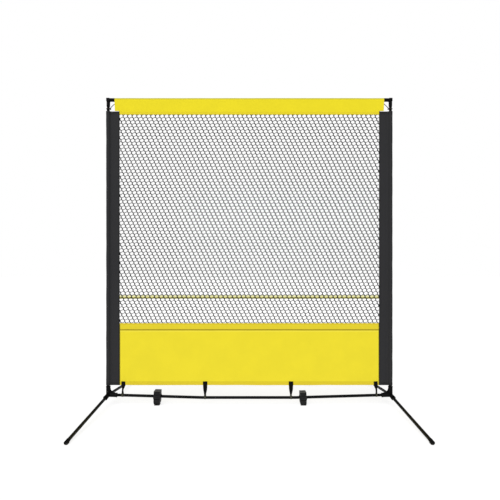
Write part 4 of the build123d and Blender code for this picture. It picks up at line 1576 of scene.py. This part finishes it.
def set_stage(scene, settings):
    """A plain pale floor, even light all round, one broad light above the front, and the camera."""
    f = Finish("pale floor")
    tone = tuple(settings.floor_colour)
    floor_material = f.done(
        Base_Color=f.mix(f.noise(f.place(), 3.0, 3.0, 0.5), tint(tone, 0.99), tone),
        Roughness=0.9,
        Specular_IOR_Level=0.0,
        Emission_Color=WHITE,
        Emission_Strength=settings.floor_glow,
    )
    floor_reach = 60.0
    around = ((-1, -1), (1, -1), (1, 1), (-1, 1))
    corners = [(x * floor_reach, y * floor_reach, 0.0) for x, y in around]
    mesh = bpy.data.meshes.new("floor")
    mesh.from_pydata(corners, [], [[0, 1, 2, 3]])
    mesh.materials.append(floor_material)
    link_object("floor", mesh)

    world = bpy.data.worlds.new("room")
    scene.world = world
    world.use_nodes = True
    tree = world.node_tree
    tree.nodes.clear()
    seen = add_node(tree, "ShaderNodeLightPath").outputs["Is Camera Ray"]
    room, wall = (
        add_node(tree, "ShaderNodeBackground", {"Color": WHITE, "Strength": strength}).outputs[0]
        for strength in (settings.sky, 1.0)
    )
    both = add_node(tree, "ShaderNodeMixShader", {0: seen, 1: room, 2: wall}).outputs[0]
    add_node(tree, "ShaderNodeOutputWorld", {"Surface": both})

    tilt, turn, breadth = np.radians([38.0, -20.0, 50.0])
    lamp = bpy.data.lights.new("overhead", "SUN")
    lamp.energy = settings.sun
    lamp.angle = breadth
    link_object("overhead", lamp).rotation_euler = (tilt, 0.0, turn)

    lens = bpy.data.cameras.new("camera")
    lens.sensor_width = 36.0
    lens.lens = settings.lens
    lens.shift_x = 0.0013
    lens.shift_y = 0.041
    lens.clip_start, lens.clip_end = 0.05, 200.0
    camera = link_object("camera", lens)
    camera.location = (0.0, -settings.distance, settings.height)
    camera.rotation_euler = (np.radians(90.0), 0.0, 0.0)
    scene.camera = camera
    scene.view_settings.view_transform = "Standard"


# ------------------------------------------------------------------ panel and registration


class REBOUNDER_PT_panel(bpy.types.Panel):
    """Every piece of the rebounder, with its sizes and colours"""

    bl_idname = "REBOUNDER_PT_panel"
    bl_label = "Ball Rebounder"
    bl_space_type = "VIEW_3D"
    bl_region_type = "UI"
    bl_category = "Rebounder"

    def draw(self, context):
        layout = self.layout
        for title, group, operators in PANEL_ROWS:
            box = layout.box()
            box.label(text=title)
            settings = getattr(context.scene, group)
            for name in settings.__annotations__:
                box.prop(settings, name)
            for operator in operators:
                box.operator(operator.bl_idname)


SETTINGS = {
    "rebounder_net": NetSettings,
    "rebounder_cloth": ClothSettings,
    "rebounder_strap": StrapSettings,
    "rebounder_frame": FrameSettings,
    "rebounder_stage": StageSettings,
}

CLOTH_OPERATORS = [
    REBOUNDER_OT_target_line,
    REBOUNDER_OT_top_band,
    REBOUNDER_OT_lower_band,
    REBOUNDER_OT_side_sleeves,
]
FINISH_OPERATORS = [
    REBOUNDER_OT_tube_finish,
    REBOUNDER_OT_moulding_finish,
    REBOUNDER_OT_hardware_finish,
]
PANEL_ROWS = [
    ("Net", "rebounder_net", [REBOUNDER_OT_net]),
    ("Bands and Sleeves", "rebounder_cloth", CLOTH_OPERATORS),
    ("Straps and Ties", "rebounder_strap", [REBOUNDER_OT_hem_straps, REBOUNDER_OT_corner_ties]),
    ("Frame", "rebounder_frame", FINISH_OPERATORS),
    ("Stage", "rebounder_stage", [REBOUNDER_OT_stage]),
]

CLASSES = [
    *SETTINGS.values(),
    *(operator for _, _, operators in PANEL_ROWS for operator in operators),
    REBOUNDER_PT_panel,
]


def register():
    for made in CLASSES:
        bpy.utils.register_class(made)
    for name, group in SETTINGS.items():
        setattr(bpy.types.Scene, name, PointerProperty(type=group))


def unregister():
    for name in SETTINGS:
        delattr(bpy.types.Scene, name)
    for made in reversed(CLASSES):
        bpy.utils.unregister_class(made)


def main():
    register()
    bpy.ops.rebounder.stage()
    bpy.ops.rebounder.corner_ties()
    bpy.ops.rebounder.net()
    bpy.ops.rebounder.target_line()
    bpy.ops.rebounder.top_band()
    bpy.ops.rebounder.lower_band()
    bpy.ops.rebounder.side_sleeves()
    bpy.ops.rebounder.hem_straps()
    bpy.ops.rebounder.tube_finish()
    bpy.ops.rebounder.moulding_finish()
    bpy.ops.rebounder.hardware_finish()


if __name__ == "__main__":
    main()
